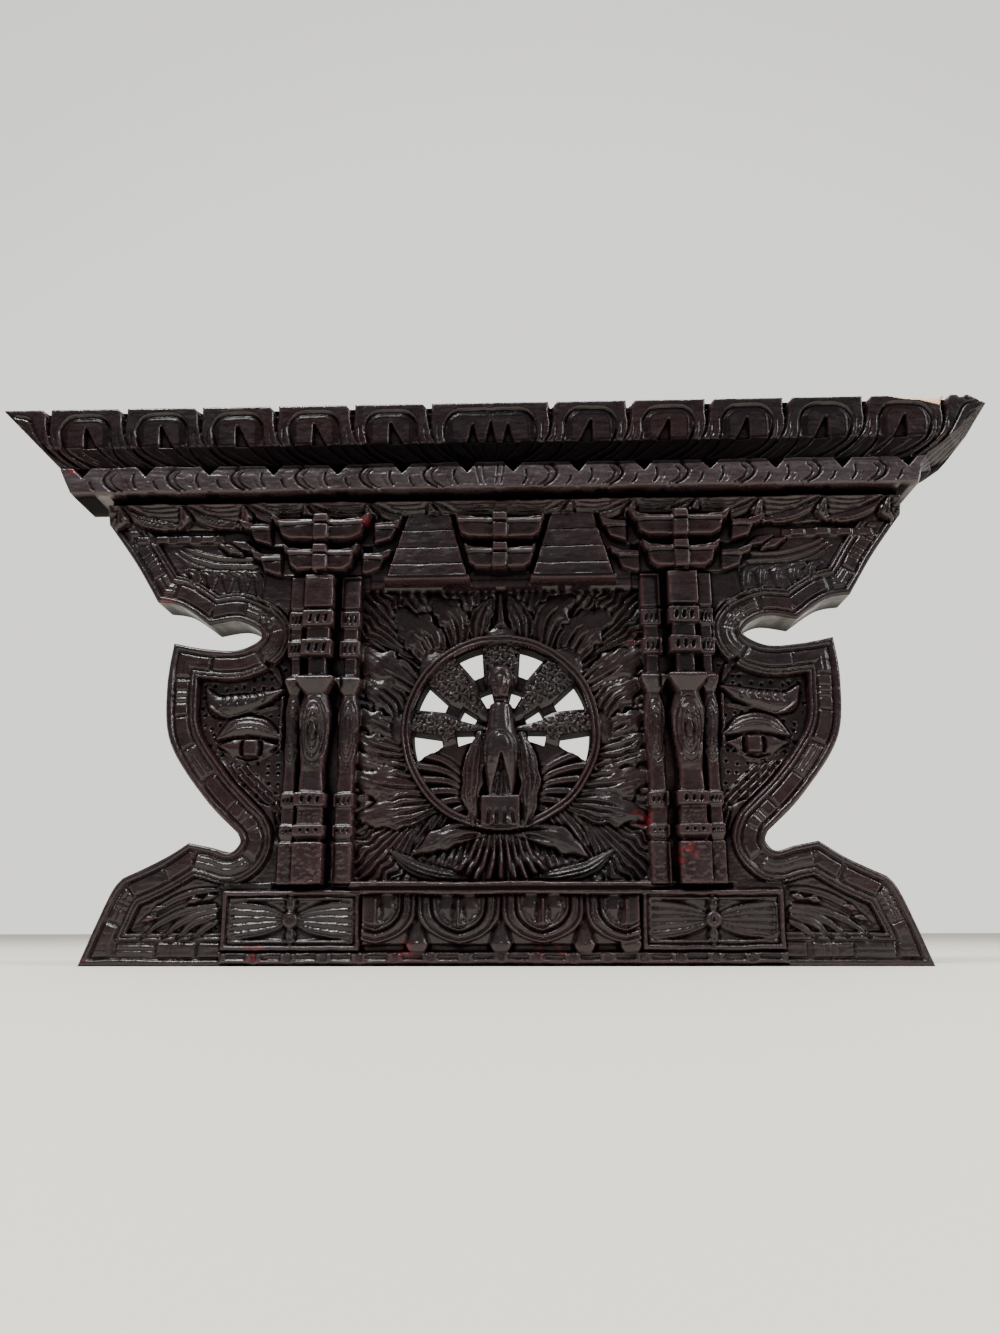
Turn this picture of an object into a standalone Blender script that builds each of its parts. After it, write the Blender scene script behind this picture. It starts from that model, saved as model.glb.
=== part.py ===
"""Carved wooden wall panel in the manner of a Himalayan window front: a wide petalled cornice over
three bracket clusters, posts on both sides of a sunk square with a pierced roundel and a bird, a
lotus plinth, and two curved wings with a beaded border. It is one carved plank.

Metres, +Z up, +X to the right. The flat back lies in Y = 0 and the carving faces -Y. The origin is
on the back, where the panel meets the wall that it hangs on."""

from math import cos, pi, radians, sin

import bmesh
import bpy
from mathutils import Vector

# Whole panel
PANEL_HEIGHT = 0.249
HANG_HEIGHT = 0.196  # from the underside up to the wall mount
PLANK_DEPTH = 0.018  # back to the channel of the wings' border
RIM_RISE = 0.002  # border fillets above that channel
OVERLAP = 0.004  # how far a carved form runs into what carries it
EDGE_SETBACK = 0.0002  # how far a carved edge stays inside the plank's own edge
MITRE_LIMIT = 0.5  # least cosine between a mitre and its sides
LOOP_TOLERANCE = 0.005  # share of an offset by which a kept point may come nearer

# Cornice, from its top edge down
CORNICE_WIDTH = 0.452
CORNICE_SHIFT = -0.0055  # the cornice sits a little left of the wings' middle
PETAL_SHIFT = -0.0042  # and so does its centre petal
CORNICE_DEPTH = 0.0292
PETAL_ROW_HEIGHT = 0.029
LEFT_RAKE = 0.029  # how far the left end slopes in over the petal row
LEFT_BAND_RAKE = 0.006
# The right end was planed off: how far in from its tip and how far below the top edge
RIGHT_END = (
    (0.0080, 0.0000),
    (0.0000, 0.0040),
    (0.0055, 0.0146),
    (0.0125, 0.0235),
    (0.0205, 0.0290),
    (0.0260, 0.0320),
    (0.0330, 0.0420),
)
# Its chamfer: below the top edge, front and outer edge in from the tip, and how far it falls back
RIGHT_CHAMFER = (
    (0.0055, 0.0030, 0.0000, 0.0014),
    (0.0161, 0.0132, 0.0060, 0.0110),
    (0.0255, 0.0265, 0.0150, 0.0180),
    (0.0330, 0.0315, 0.0262, 0.0150),
    (0.0405, 0.0340, 0.0318, 0.0040),
)
PETAL_ROW_BREAK = 0.0105  # height above the row's foot where its face turns back
PETAL_BREAK_DEPTH = 0.0265
PETAL_FOOT_DEPTH = 0.0220
PETAL_RISE = 0.0012
CENTRE_PETAL_WIDTH = 0.056
PETALS_PER_SIDE = 5
CORNER_PETAL_WIDTH = 0.020
PETAL_GAP = 0.0016
EDGE_CHIP_WIDTH = 0.0040  # V chips in the top edge between the petals
EDGE_CHIP_HEIGHT = 0.0032
EDGE_CHIP_REACH = 0.0045
BAND_HEIGHT = 0.0125
BAND_DEPTH = 0.0268
BAND_BULGE = 0.0016
BAND_PETAL_WIDTH = 0.0295
CENTRE_BAND_PETAL_WIDTH = 0.0210
BAND_PETALS_PER_SIDE = 6
BAND_NOTCH_WIDTH = 0.0092
BAND_NOTCH_HEIGHT = 0.0047
BAND_NOTCH_REACH = 0.0045
UNDERCUT_HEIGHT = 0.004
UNDERCUT_INSET = 0.001  # the undercut's ends stay inside the tier's, and its block runs into both
TIER_HEIGHT = 0.0115
TIER_WIDTH = 0.360
TIER_DEPTH = 0.0235
TIER_LEAF_WIDTH = 0.026

# Brackets under the cornice
CLUSTER_SPACING = 0.0805  # centre to side cluster, and centre to side posts
BRACKET_HEAD = 0.1965
BOAT_HEIGHT = 0.0125
BOAT_GAP = 0.0015
BOAT_DIP = 0.0027  # how far the ends turn up over the middle
FRONT_BOAT_WIDTH = 0.0455
FRONT_BOAT_DEPTH = 0.0282
REAR_BOAT_WIDTH = 0.078
REAR_BOAT_DEPTH = 0.0240
BOAT_SHRINK = 0.0105  # lower boats are narrower by this
BOAT_BLOCK_WIDTH = 0.0065
BOAT_BLOCK_RISE = 0.0008
SLAT_CENTRE = 0.0325
SLAT_HEAD_WIDTH = 0.019
SLAT_FOOT_WIDTH = 0.038
SLAT_FOOT = 0.1640
SLAT_DEPTH = 0.0265
SLATS = 4

# Posts beside the window
POST_WIDTH = 0.0132
POST_DEPTH = 0.0250
POST_HEAD = 0.168
SIDE_POST_DEPTH = 0.0212
INNER_POST_WIDTH = 0.0088
INNER_POST_GAP = 0.0030  # between the main post and the inner one
OUTER_POST_WIDTH = 0.0066

# Sunk window square with the roundel
WINDOW_WIDTH = 0.126
WINDOW_SILL = 0.034
WINDOW_HEIGHT = 0.129
WINDOW_FLOOR = 0.0100
LEAF_HEIGHT = 0.0045
ROUNDEL_CENTRE = 0.0985
ROUNDEL_RADIUS = 0.0435
RING_WIDTH = 0.0038
RING_HEIGHT = 0.0060
FAN_HEIGHT = 0.0025
FEATHERS = 5
FEATHER_STEP = 44.0  # degrees between feathers
RING_LEAVES = 16

# Bird in front of the fan
BIRD_HEIGHT = 0.070
BIRD_FOOT = 0.057
BIRD_DEPTH = 0.0105

# Plinth
LEDGE_TOP = 0.0335
LEDGE_HEIGHT = 0.0050
LEDGE_DEPTH = 0.0262
LOTUS_WIDTH = 0.115
LOTUS_PITCH = 0.0342
LOTUS_PETALS = 4
LOTUS_FOOT = 0.0085
LOTUS_DEPTH = 0.0240
SIDE_PANEL_WIDTH = 0.0585
SIDE_PANEL_GAP = 0.0004
SIDE_PANEL_FOOT = 0.0062
SIDE_PANEL_HEAD = 0.0302
SIDE_PANEL_DEPTH = 0.0215
SIDE_FRAME_WIDTH = 0.0026
SIDE_LEAF_LENGTH = 0.021
BOSS_RADIUS = 0.0032
FOOT_STRIP_DEPTH = 0.0210
DENTILS = 16

# Wings: half widths and heights of the outline's corners, on the right-hand side
CURL_HALF, CURL_Z = 0.1545, 0.1575
NOTCH_LIP_HALF, NOTCH_LIP_Z = 0.1303, 0.1463
NOTCH_END_HALF, NOTCH_Z = 0.1062, 0.1410
HORN_HALF, HORN_Z = 0.1455, 0.1380
BELLY_HALF, BELLY_Z = 0.1470, 0.1180
WAIST_HALF, WAIST_Z = 0.1102, 0.0500
SHOULDER_HALF, SHOULDER_Z = 0.1320, 0.0500
STEP_HALF, STEP_Z = 0.1588, 0.0355
FOOT_HALF = 0.1745
RIM_WIDTH = 0.0030
BEAD_SETBACK = 0.0042
BEAD_WIDTH = 0.0050
BEAD_PITCH = 0.0175
BEAD_LENGTH = 0.0158
INNER_RIM_SETBACK = 0.0104
FIELD_SETBACK = 0.0130
FIELD_SINK = 0.0028
EYE_HALF, EYE_Z = 0.1100, 0.0925
EYE_REACH = 0.0125
MOTIF_RISE = 0.0024
# Leaves in the fields above and below the eye: root, tip and how far the middle bends up
UPPER_SPRAY = (
    (0.1020, 0.1640, 0.1380, 0.1740, -0.0030),
    (0.1010, 0.1790, 0.1500, 0.1850, 0.0030),
)
LOWER_SPRAY = (
    (0.1200, 0.0180, 0.1380, 0.0330, 0.0040),
    (0.1240, 0.0170, 0.1530, 0.0180, 0.0045),
    (0.1000, 0.0360, 0.1210, 0.0350, 0.0025),
)

PETAL_FOOT = PANEL_HEIGHT - PETAL_ROW_HEIGHT
BAND_FOOT = PETAL_FOOT - BAND_HEIGHT
TIER_TOP = BAND_FOOT - UNDERCUT_HEIGHT
TIER_FOOT = TIER_TOP - TIER_HEIGHT
RIM_DEPTH = PLANK_DEPTH + RIM_RISE
FIELD_DEPTH = PLANK_DEPTH - FIELD_SINK
CORNICE_LEFT = CORNICE_SHIFT - CORNICE_WIDTH / 2
CORNICE_RIGHT = CORNICE_SHIFT + CORNICE_WIDTH / 2
INNER_POST_HALF = CLUSTER_SPACING - POST_WIDTH / 2 - INNER_POST_GAP - INNER_POST_WIDTH / 2
PANEL_ENDS = LOTUS_WIDTH / 2 + SIDE_PANEL_WIDTH


def clear_scene():
    for item in list(bpy.data.objects):
        bpy.data.objects.remove(item, do_unlink=True)


def wood_material():
    material = bpy.data.materials.new("dark_lacquered_wood")
    material.use_nodes = True
    shader = material.node_tree.nodes["Principled BSDF"]
    shader.inputs["Base Color"].default_value = (0.020, 0.008, 0.008, 1.0)
    shader.inputs["Roughness"].default_value = 0.32
    shader.inputs["Metallic"].default_value = 0.0
    return material


def at(x, depth, z):
    """A point by its height above the underside and its depth in front of the back."""
    return Vector((x, -depth, z - HANG_HEIGHT))


class Shapes:
    """Helper solids that one Boolean adds to the plank or takes away from it."""

    def __init__(self, name):
        self.group = bpy.data.collections.new(name)
        bpy.context.scene.collection.children.link(self.group)

    def loft(self, rings, closed=False):
        """A solid through rings of the same number of points, capped unless it closes on itself."""
        mesh = bmesh.new()
        rows = [[mesh.verts.new(point) for point in ring] for ring in rings]
        pairs = list(zip(rows, rows[1:]))
        if closed:
            pairs.append((rows[-1], rows[0]))
        for first, second in pairs:
            for i in range(len(first)):
                j = (i + 1) % len(first)
                mesh.faces.new((first[i], first[j], second[j], second[i]))
        if not closed:
            mesh.faces.new(rows[0])
            mesh.faces.new(rows[-1])
        bmesh.ops.remove_doubles(mesh, verts=mesh.verts, dist=1e-6)
        bmesh.ops.recalc_face_normals(mesh, faces=mesh.faces)
        data = bpy.data.meshes.new(self.group.name)
        mesh.to_mesh(data)
        mesh.free()
        item = bpy.data.objects.new(self.group.name, data)
        item.hide_render = True
        item.display_type = "WIRE"
        self.group.objects.link(item)
        return item

    def prism(self, outline, back, front):
        """An outline of (x, z) points, cut straight through from one depth to another."""
        return self.loft([[at(x, depth, z) for x, z in outline] for depth in (back, front)])

    def pillow(self, outline, back, edge, front, inset):
        """A prism whose front is crowned: its rim is drawn in towards its middle by a share."""
        mid_x = sum(x for x, _ in outline) / len(outline)
        mid_z = sum(z for _, z in outline) / len(outline)
        crown = [(x + (mid_x - x) * inset, z + (mid_z - z) * inset) for x, z in outline]
        rings = [(outline, back), (outline, edge), (crown, front)]
        return self.loft([[at(x, depth, z) for x, z in ring] for ring, depth in rings])

    def block(self, x_mid, width, foot, head, back, front):
        half = width / 2
        corners = [(-half, foot), (half, foot), (half, head), (-half, head)]
        return self.prism([(x_mid + x, z) for x, z in corners], back, front)

    def stack(self, x_mid, levels, back):
        """Rectangular sections one above the other, each (height, half width, front depth)."""
        rings = []
        for z, half, front in levels:
            corners = [(-half, back), (half, back), (half, front), (-half, front)]
            rings.append([at(x_mid + x, depth, z) for x, depth in corners])
        return self.loft(rings)

    def turned(self, x_mid, levels, back):
        """Like a stack, but with chamfered front corners, each (height, half, front, chamfer)."""
        rings = []
        for z, half, front, chamfer in levels:
            corners = [
                (-half, back),
                (half, back),
                (half, front - chamfer),
                (half - chamfer, front),
                (chamfer - half, front),
                (-half, front - chamfer),
            ]
            rings.append([at(x_mid + x, depth, z) for x, depth in corners])
        return self.loft(rings)

    def blade(self, spine, widths, back, edge, ridge):
        """A leaf or petal: a ridged form along a spine of (x, z) points, with a width at each."""
        rings = []
        for i, (x, z) in enumerate(spine):
            before, after = spine[max(i - 1, 0)], spine[min(i + 1, len(spine) - 1)]
            along = Vector((after[0] - before[0], after[1] - before[1])).normalized()
            side = Vector((along.y, -along.x)) * widths[i] / 2
            left, right = (x - side.x, z - side.y), (x + side.x, z + side.y)
            rings.append(
                [
                    at(left[0], back, left[1]),
                    at(left[0], edge, left[1]),
                    at(x, ridge[i], z),
                    at(right[0], edge, right[1]),
                    at(right[0], back, right[1]),
                ]
            )
        return self.loft(rings)

    def band(self, inner, outer, back, front):
        """A strip between two lines of (x, z) points that run side by side."""
        return self.prism(inner + outer[::-1], back, front)


def curve_through(points, steps):
    """A smooth line through (x, z) points: Catmull-Rom spans with a number of steps each."""
    ends = [points[0], *points, points[-1]]
    line = []
    for i in range(len(points) - 1):
        p0, p1, p2, p3 = (Vector(p) for p in ends[i : i + 4])
        for k in range(steps):
            t = k / steps
            q = 2 * p1 + (p2 - p0) * t + (2 * p0 - 5 * p1 + 4 * p2 - p3) * t * t
            q += (3 * p1 - p0 - 3 * p2 + p3) * t * t * t
            line.append((q.x / 2, q.y / 2))
    return [*line, points[-1]]


def offset(line, distance):
    """The line moved to its right-hand side, with mitred corners and without crossed loops."""
    moved = []
    for i, point in enumerate(line):
        sides = []
        for a, b in ((i - 1, i), (i, i + 1)):
            if a < 0 or b >= len(line):
                continue
            along = Vector(line[b]) - Vector(line[a])
            sides.append(Vector((along.y, -along.x)).normalized())
        normal = sum(sides, Vector((0.0, 0.0))).normalized()
        reach = distance / max(normal.dot(sides[0]), MITRE_LIMIT)
        spot = Vector(point) + normal * reach
        if clearance(spot, line) > distance * (1 - LOOP_TOLERANCE):
            moved.append((spot.x, spot.y))
    return moved


def clearance(spot, line):
    """The distance from a spot to the nearest place on a line."""
    nearest = float("inf")
    for a, b in zip(line, line[1:]):
        start, along = Vector(a), Vector(b) - Vector(a)
        share = max(0.0, min(1.0, (spot - start).dot(along) / along.length_squared))
        nearest = min(nearest, (spot - start - along * share).length)
    return nearest


def mirrored(line):
    return [(-x, z) for x, z in line]


def wing_edge():
    """The right wing's outline, from under the cornice down to the foot."""
    top_half = TIER_WIDTH / 2
    notch_reach = HORN_HALF - NOTCH_END_HALF
    stretches = [
        ([(top_half, TIER_FOOT + 0.003), (top_half - 0.014, TIER_FOOT - 0.016), (CURL_HALF, CURL_Z)], 2),
        ([(CURL_HALF, CURL_Z), (CURL_HALF - 0.011, CURL_Z - 0.0022), (NOTCH_LIP_HALF, NOTCH_LIP_Z)], 1),
        (
            [
                (NOTCH_LIP_HALF, NOTCH_LIP_Z),
                (NOTCH_END_HALF + 0.010, NOTCH_Z + 0.0069),
                (NOTCH_END_HALF, NOTCH_Z),
                (NOTCH_END_HALF + 0.010, NOTCH_Z - 0.0063),
                (HORN_HALF - notch_reach * 0.36, NOTCH_Z - 0.0057),
                (HORN_HALF, HORN_Z),
            ],
            2,
        ),
        (
            [
                (HORN_HALF, HORN_Z),
                (BELLY_HALF, BELLY_Z),
                (BELLY_HALF - 0.0035, BELLY_Z - 0.025),
                (WAIST_HALF + 0.0166, WAIST_Z + 0.019),
                (WAIST_HALF + 0.0012, WAIST_Z + 0.004),
            ],
            2,
        ),
        (
            [
                (WAIST_HALF + 0.0012, WAIST_Z + 0.004),
                (WAIST_HALF, WAIST_Z),
                (WAIST_HALF + 0.004, WAIST_Z - 0.004),
                (SHOULDER_HALF - 0.010, SHOULDER_Z - 0.002),
                (SHOULDER_HALF, SHOULDER_Z),
            ],
            1,
        ),
        ([(SHOULDER_HALF, SHOULDER_Z), (SHOULDER_HALF + 0.011, SHOULDER_Z - 0.007), (STEP_HALF, STEP_Z)], 1),
        ([(STEP_HALF, STEP_Z), (STEP_HALF + 0.0052, STEP_Z - 0.0075), (FOOT_HALF, 0.0)], 1),
    ]
    line = []
    for points, steps in stretches:
        line += curve_through(points, steps)[:-1]
    return [*line, (FOOT_HALF, 0.0)]


def wing_motifs(added):
    """Carving in the sunk fields: an eye under its brow, leaves above it and sprays below."""
    back, high = FIELD_DEPTH - OVERLAP, FIELD_DEPTH + MOTIF_RISE
    for side in (-1, 1):
        eye = [(-1.0, 0.0), (-0.45, 0.28), (0.25, 0.30), (1.0, 0.0)]
        spine = [(side * (EYE_HALF + s * EYE_REACH), EYE_Z + d * 0.004) for s, d in eye]
        added.blade(spine, [0.0010, 0.0085, 0.0085, 0.0012], back, FIELD_DEPTH + 0.0006, [high] * 4)
        added.block(side * EYE_HALF, 0.0050, EYE_Z - 0.0036, EYE_Z + 0.0036, back, high + 0.0006)
        brow = [(-1.1, 1.6), (-0.3, 1.7), (0.55, 1.75), (1.35, 3.1)]
        spine = [(side * (EYE_HALF + s * EYE_REACH), EYE_Z + d * 0.0075) for s, d in brow]
        added.blade(spine, [0.0040, 0.0060, 0.0060, 0.0020], back, FIELD_DEPTH + 0.0006, [high] * 4)
        for spray in (UPPER_SPRAY, LOWER_SPRAY):
            for root_x, root_z, tip_x, tip_z, bend in spray:
                mid_x, mid_z = (root_x + tip_x) / 2, (root_z + tip_z) / 2 + bend
                spine = [(side * root_x, root_z), (side * mid_x, mid_z), (side * tip_x, tip_z)]
                added.blade(spine, [0.0030, 0.0068, 0.0012], back, FIELD_DEPTH + 0.0006, [high] * 3)


def length_along(line):
    total = [0.0]
    for a, b in zip(line, line[1:]):
        total.append(total[-1] + (Vector(b) - Vector(a)).length)
    return total


def place_along(line, lengths, distance):
    """The point at a distance along the line, and the direction there."""
    for i in range(len(line) - 1):
        if distance <= lengths[i + 1] or i == len(line) - 2:
            start, end = Vector(line[i]), Vector(line[i + 1])
            share = (distance - lengths[i]) / (lengths[i + 1] - lengths[i])
            return start.lerp(end, share), (end - start).normalized()
    raise ValueError("a line needs two points")


def plank():
    """The panel's body: the wings' outline up to the cornice, cut straight through."""
    edge = wing_edge()
    outline = [(TIER_WIDTH / 2, TIER_TOP + OVERLAP), *edge]
    outline += mirrored(outline)[::-1]
    body = Shapes("plank").prism(outline, 0.0, PLANK_DEPTH)
    body.name = "carved_panel"
    body.hide_render = False
    body.display_type = "TEXTURED"
    body.data.materials.append(wood_material())
    return body


def left_edge(z):
    """The cornice's left end at a height."""
    if z > PETAL_FOOT:
        return CORNICE_LEFT + LEFT_RAKE * (PANEL_HEIGHT - z) / PETAL_ROW_HEIGHT
    return CORNICE_LEFT + LEFT_RAKE + LEFT_BAND_RAKE * (PETAL_FOOT - z) / BAND_HEIGHT


def right_edge(z):
    """The cornice's right end at a height."""
    below = PANEL_HEIGHT - z
    for (first, high), (second, low) in zip(RIGHT_END, RIGHT_END[1:]):
        if below <= low:
            return CORNICE_RIGHT - first - (second - first) * (below - high) / (low - high)
    return CORNICE_RIGHT - RIGHT_END[-1][0]


def cornice_course(added, heights, face, setback):
    """Part of the cornice, through a list of heights. Its foot stays inside the course below."""
    rings = []
    for z in heights:
        inset = setback if z == heights[0] else 0.0
        left, right = left_edge(z) + inset, right_edge(z) - inset
        corners = ((left, 0.0), (right, 0.0), (right, face(z)), (left, face(z)))
        rings.append([at(x, depth, z) for x, depth in corners])
    added.loft(rings)


def cornice(added, cut):
    """The leaning petal row, the bulging band under it and the slanted leaf tier."""
    bends = [PANEL_HEIGHT - below for _, below in RIGHT_END[1:-1]]
    mid = (PETAL_FOOT + BAND_FOOT) / 2
    band = [BAND_FOOT, mid, *(z for z in bends if mid < z < PETAL_FOOT - OVERLAP / 2), PETAL_FOOT]
    cornice_course(added, band, band_face, 0.0)
    row = {PETAL_FOOT + PETAL_ROW_BREAK, PANEL_HEIGHT, *(z for z in bends if z > PETAL_FOOT + OVERLAP / 2)}
    cornice_course(added, [PETAL_FOOT - EDGE_SETBACK, *sorted(row)], petal_face, EDGE_SETBACK)
    petal_edges = [CENTRE_PETAL_WIDTH / 2]
    row_half = CORNICE_WIDTH / 2 - CORNER_PETAL_WIDTH
    pitch = (row_half - petal_edges[0]) / PETALS_PER_SIDE
    petal_edges += [petal_edges[0] + pitch * (i + 1) for i in range(PETALS_PER_SIDE)]
    petal(added, PETAL_SHIFT, CENTRE_PETAL_WIDTH)
    for side in (-1, 1):
        for inner, outer in zip(petal_edges, petal_edges[1:]):
            petal(added, PETAL_SHIFT + side * (inner + outer) / 2, outer - inner)
        for x in petal_edges:
            chip = EDGE_CHIP_WIDTH, EDGE_CHIP_HEIGHT
            v_cut(cut, PETAL_SHIFT + side * x, PANEL_HEIGHT, chip, CORNICE_DEPTH, EDGE_CHIP_REACH)
        for i in range(BAND_PETALS_PER_SIDE + 1):
            x = PETAL_SHIFT + side * (CENTRE_BAND_PETAL_WIDTH / 2 + i * BAND_PETAL_WIDTH)
            notch = BAND_NOTCH_WIDTH, BAND_NOTCH_HEIGHT
            v_cut(cut, x, PETAL_FOOT, notch, BAND_DEPTH, BAND_NOTCH_REACH)
    planed_end(cut)
    tier(added)


def tier(added):
    """The slanted course under the cornice, with the undercut above it and a row of leaves."""
    half = TIER_WIDTH / 2 - EDGE_SETBACK
    levels = [(TIER_FOOT, half, PLANK_DEPTH + EDGE_SETBACK), (TIER_TOP, half, TIER_DEPTH)]
    added.stack(0.0, levels, PLANK_DEPTH - OVERLAP)
    undercut = TIER_WIDTH - 2 * UNDERCUT_INSET
    foot, head = TIER_TOP - UNDERCUT_INSET, BAND_FOOT + UNDERCUT_INSET
    added.block(0.0, undercut, foot, head, PLANK_DEPTH - OVERLAP, RIM_DEPTH)
    leaves = int(TIER_WIDTH / TIER_LEAF_WIDTH)
    for i in range(leaves):
        tier_leaf(added, (i - (leaves - 1) / 2) * TIER_LEAF_WIDTH, TIER_LEAF_WIDTH)


def planed_end(cut):
    """Takes the front corner off the cornice's right end."""
    rings = []
    for below, front, outer, fall in RIGHT_CHAMFER:
        z = PANEL_HEIGHT - below
        face = petal_face(z) if z > PETAL_FOOT else band_face(z)
        front_x, outer_x = CORNICE_RIGHT - front, CORNICE_RIGHT - outer
        corners = (
            (front_x, face + OVERLAP),
            (front_x, face + EDGE_SETBACK),
            (outer_x, face - fall),
            (outer_x + OVERLAP, face - fall),
            (outer_x + OVERLAP, face + OVERLAP),
        )
        rings.append([at(x, depth, z) for x, depth in corners])
    cut.loft(rings)


def band_face(z):
    """The depth of the bulging band at a height."""
    share = (z - BAND_FOOT) / BAND_HEIGHT
    return BAND_DEPTH + BAND_BULGE * (1 - abs(2 * share - 1))


def petal_face(z):
    """The depth of the petal row's broken face at a height."""
    above = z - PETAL_FOOT
    if above < PETAL_ROW_BREAK:
        return PETAL_FOOT_DEPTH + (PETAL_BREAK_DEPTH - PETAL_FOOT_DEPTH) * above / PETAL_ROW_BREAK
    share = (above - PETAL_ROW_BREAK) / (PETAL_ROW_HEIGHT - PETAL_ROW_BREAK)
    return PETAL_BREAK_DEPTH + (CORNICE_DEPTH - PETAL_BREAK_DEPTH) * share


def petal(added, x_mid, width):
    """A broad cornice petal: an arched plate, and on it a raised middle with a V notch below."""
    foot, head = PETAL_FOOT + PETAL_ROW_BREAK - 0.002, PANEL_HEIGHT - 0.0022
    half = (width - PETAL_GAP) / 2
    arch = [(-0.90, 0.0), (-0.97, 0.45), (-0.88, 0.80), (-0.66, 1.0)]
    arch += [(-x, z) for x, z in arch[::-1]]
    heart = [(-0.13, 0.10), (-0.62, 0.10), (-0.70, 0.42), (-0.62, 0.72), (-0.44, 0.84)]
    heart += [(-x, z) for x, z in heart[::-1]]
    heart.append((0.0, 0.50))
    for outline, rise in ((arch, PETAL_RISE * 0.4), (heart, PETAL_RISE)):
        rings = []
        for sink in (OVERLAP, -rise):
            ring = []
            for x, share in outline:
                z = foot + (head - foot) * share
                ring.append(at(x_mid + x * half, petal_face(z) - sink, z))
            rings.append(ring)
        added.loft(rings)


def v_cut(cut, x, z, size, depth, reach):
    """A V-shaped notch of a width and height that opens upwards from z and goes in from the front."""
    width, height = size
    over = EDGE_SETBACK
    outline = [(x - width / 2, z + over), (x + width / 2, z + over), (x, z - height)]
    cut.prism(outline, depth - reach, depth + OVERLAP)


def tier_leaf(added, x, width):
    """A flat pointed leaf on the slanted tier under the cornice."""
    slope = (TIER_DEPTH - PLANK_DEPTH) / TIER_HEIGHT
    rings = []
    for z, half in ((TIER_TOP - 0.0008, 0.42), (TIER_TOP - 0.0045, 0.46), (TIER_FOOT + 0.0015, 0.10)):
        face = PLANK_DEPTH + (z - TIER_FOOT) * slope
        reach = width * half
        corners = [(-reach, face - OVERLAP), (reach, face - OVERLAP), (reach, face + 0.0004)]
        corners += [(0.0, face + 0.0014), (-reach, face + 0.0004)]
        rings.append([at(x + dx, depth, z) for dx, depth in corners])
    added.loft(rings)


def boat(added, x, head, width, front):
    """One bracket arm: a slab with upturned ends over a curved hull."""
    half, foot = width / 2, head - BOAT_HEIGHT
    ledge = head - BOAT_HEIGHT * 0.42
    slab = [(0.84, ledge), (0.93, ledge + 0.001), (1.0, head), (0.80, head - BOAT_DIP)]
    slab += [(-s, z) for s, z in slab[::-1]]
    added.prism([(x + s * half, z) for s, z in slab], PLANK_DEPTH - OVERLAP, front)
    hull = [(-0.86, ledge + 0.0005), (-0.80, foot + 0.0025), (-0.62, foot), (0.62, foot)]
    hull += [(0.80, foot + 0.0025), (0.86, ledge + 0.0005)]
    added.prism([(x + s * half, z) for s, z in hull], PLANK_DEPTH - OVERLAP, front - 0.0011)


def bracket_cluster(added, x, with_rear):
    heads = (BRACKET_HEAD, BRACKET_HEAD - BOAT_HEIGHT - BOAT_GAP)
    for row, head in enumerate(heads):
        shrink = row * BOAT_SHRINK
        step = row * 0.0012
        if with_rear:
            boat(added, x, head - 0.0010, REAR_BOAT_WIDTH - shrink * 1.15, REAR_BOAT_DEPTH - step)
        boat(added, x, head, FRONT_BOAT_WIDTH - shrink, FRONT_BOAT_DEPTH - step)
        face = FRONT_BOAT_DEPTH - step + BOAT_BLOCK_RISE
        added.block(x, BOAT_BLOCK_WIDTH, head - BOAT_HEIGHT - 0.0006, head - 0.0006, PLANK_DEPTH, face)


def slatted_panel(added, x):
    """The sloping louvre between two clusters: each slat stands out over the one above."""
    levels = []
    rise = (BRACKET_HEAD + 0.001 - SLAT_FOOT) / SLATS
    for i in range(SLATS + 1):
        share = i / SLATS
        half = (SLAT_FOOT_WIDTH * (1 - share) + SLAT_HEAD_WIDTH * share) / 2
        front = SLAT_DEPTH + (PLANK_DEPTH + 0.002 - SLAT_DEPTH) * share
        z = SLAT_FOOT + rise * i
        if 0 < i < SLATS:
            levels.append((z - 0.0006, half + 0.0002, front + 0.0004))
            levels.append((z, half, front - 0.0010))
        else:
            levels.append((z, half, front))
    added.stack(x, levels, PLANK_DEPTH - OVERLAP)


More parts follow.
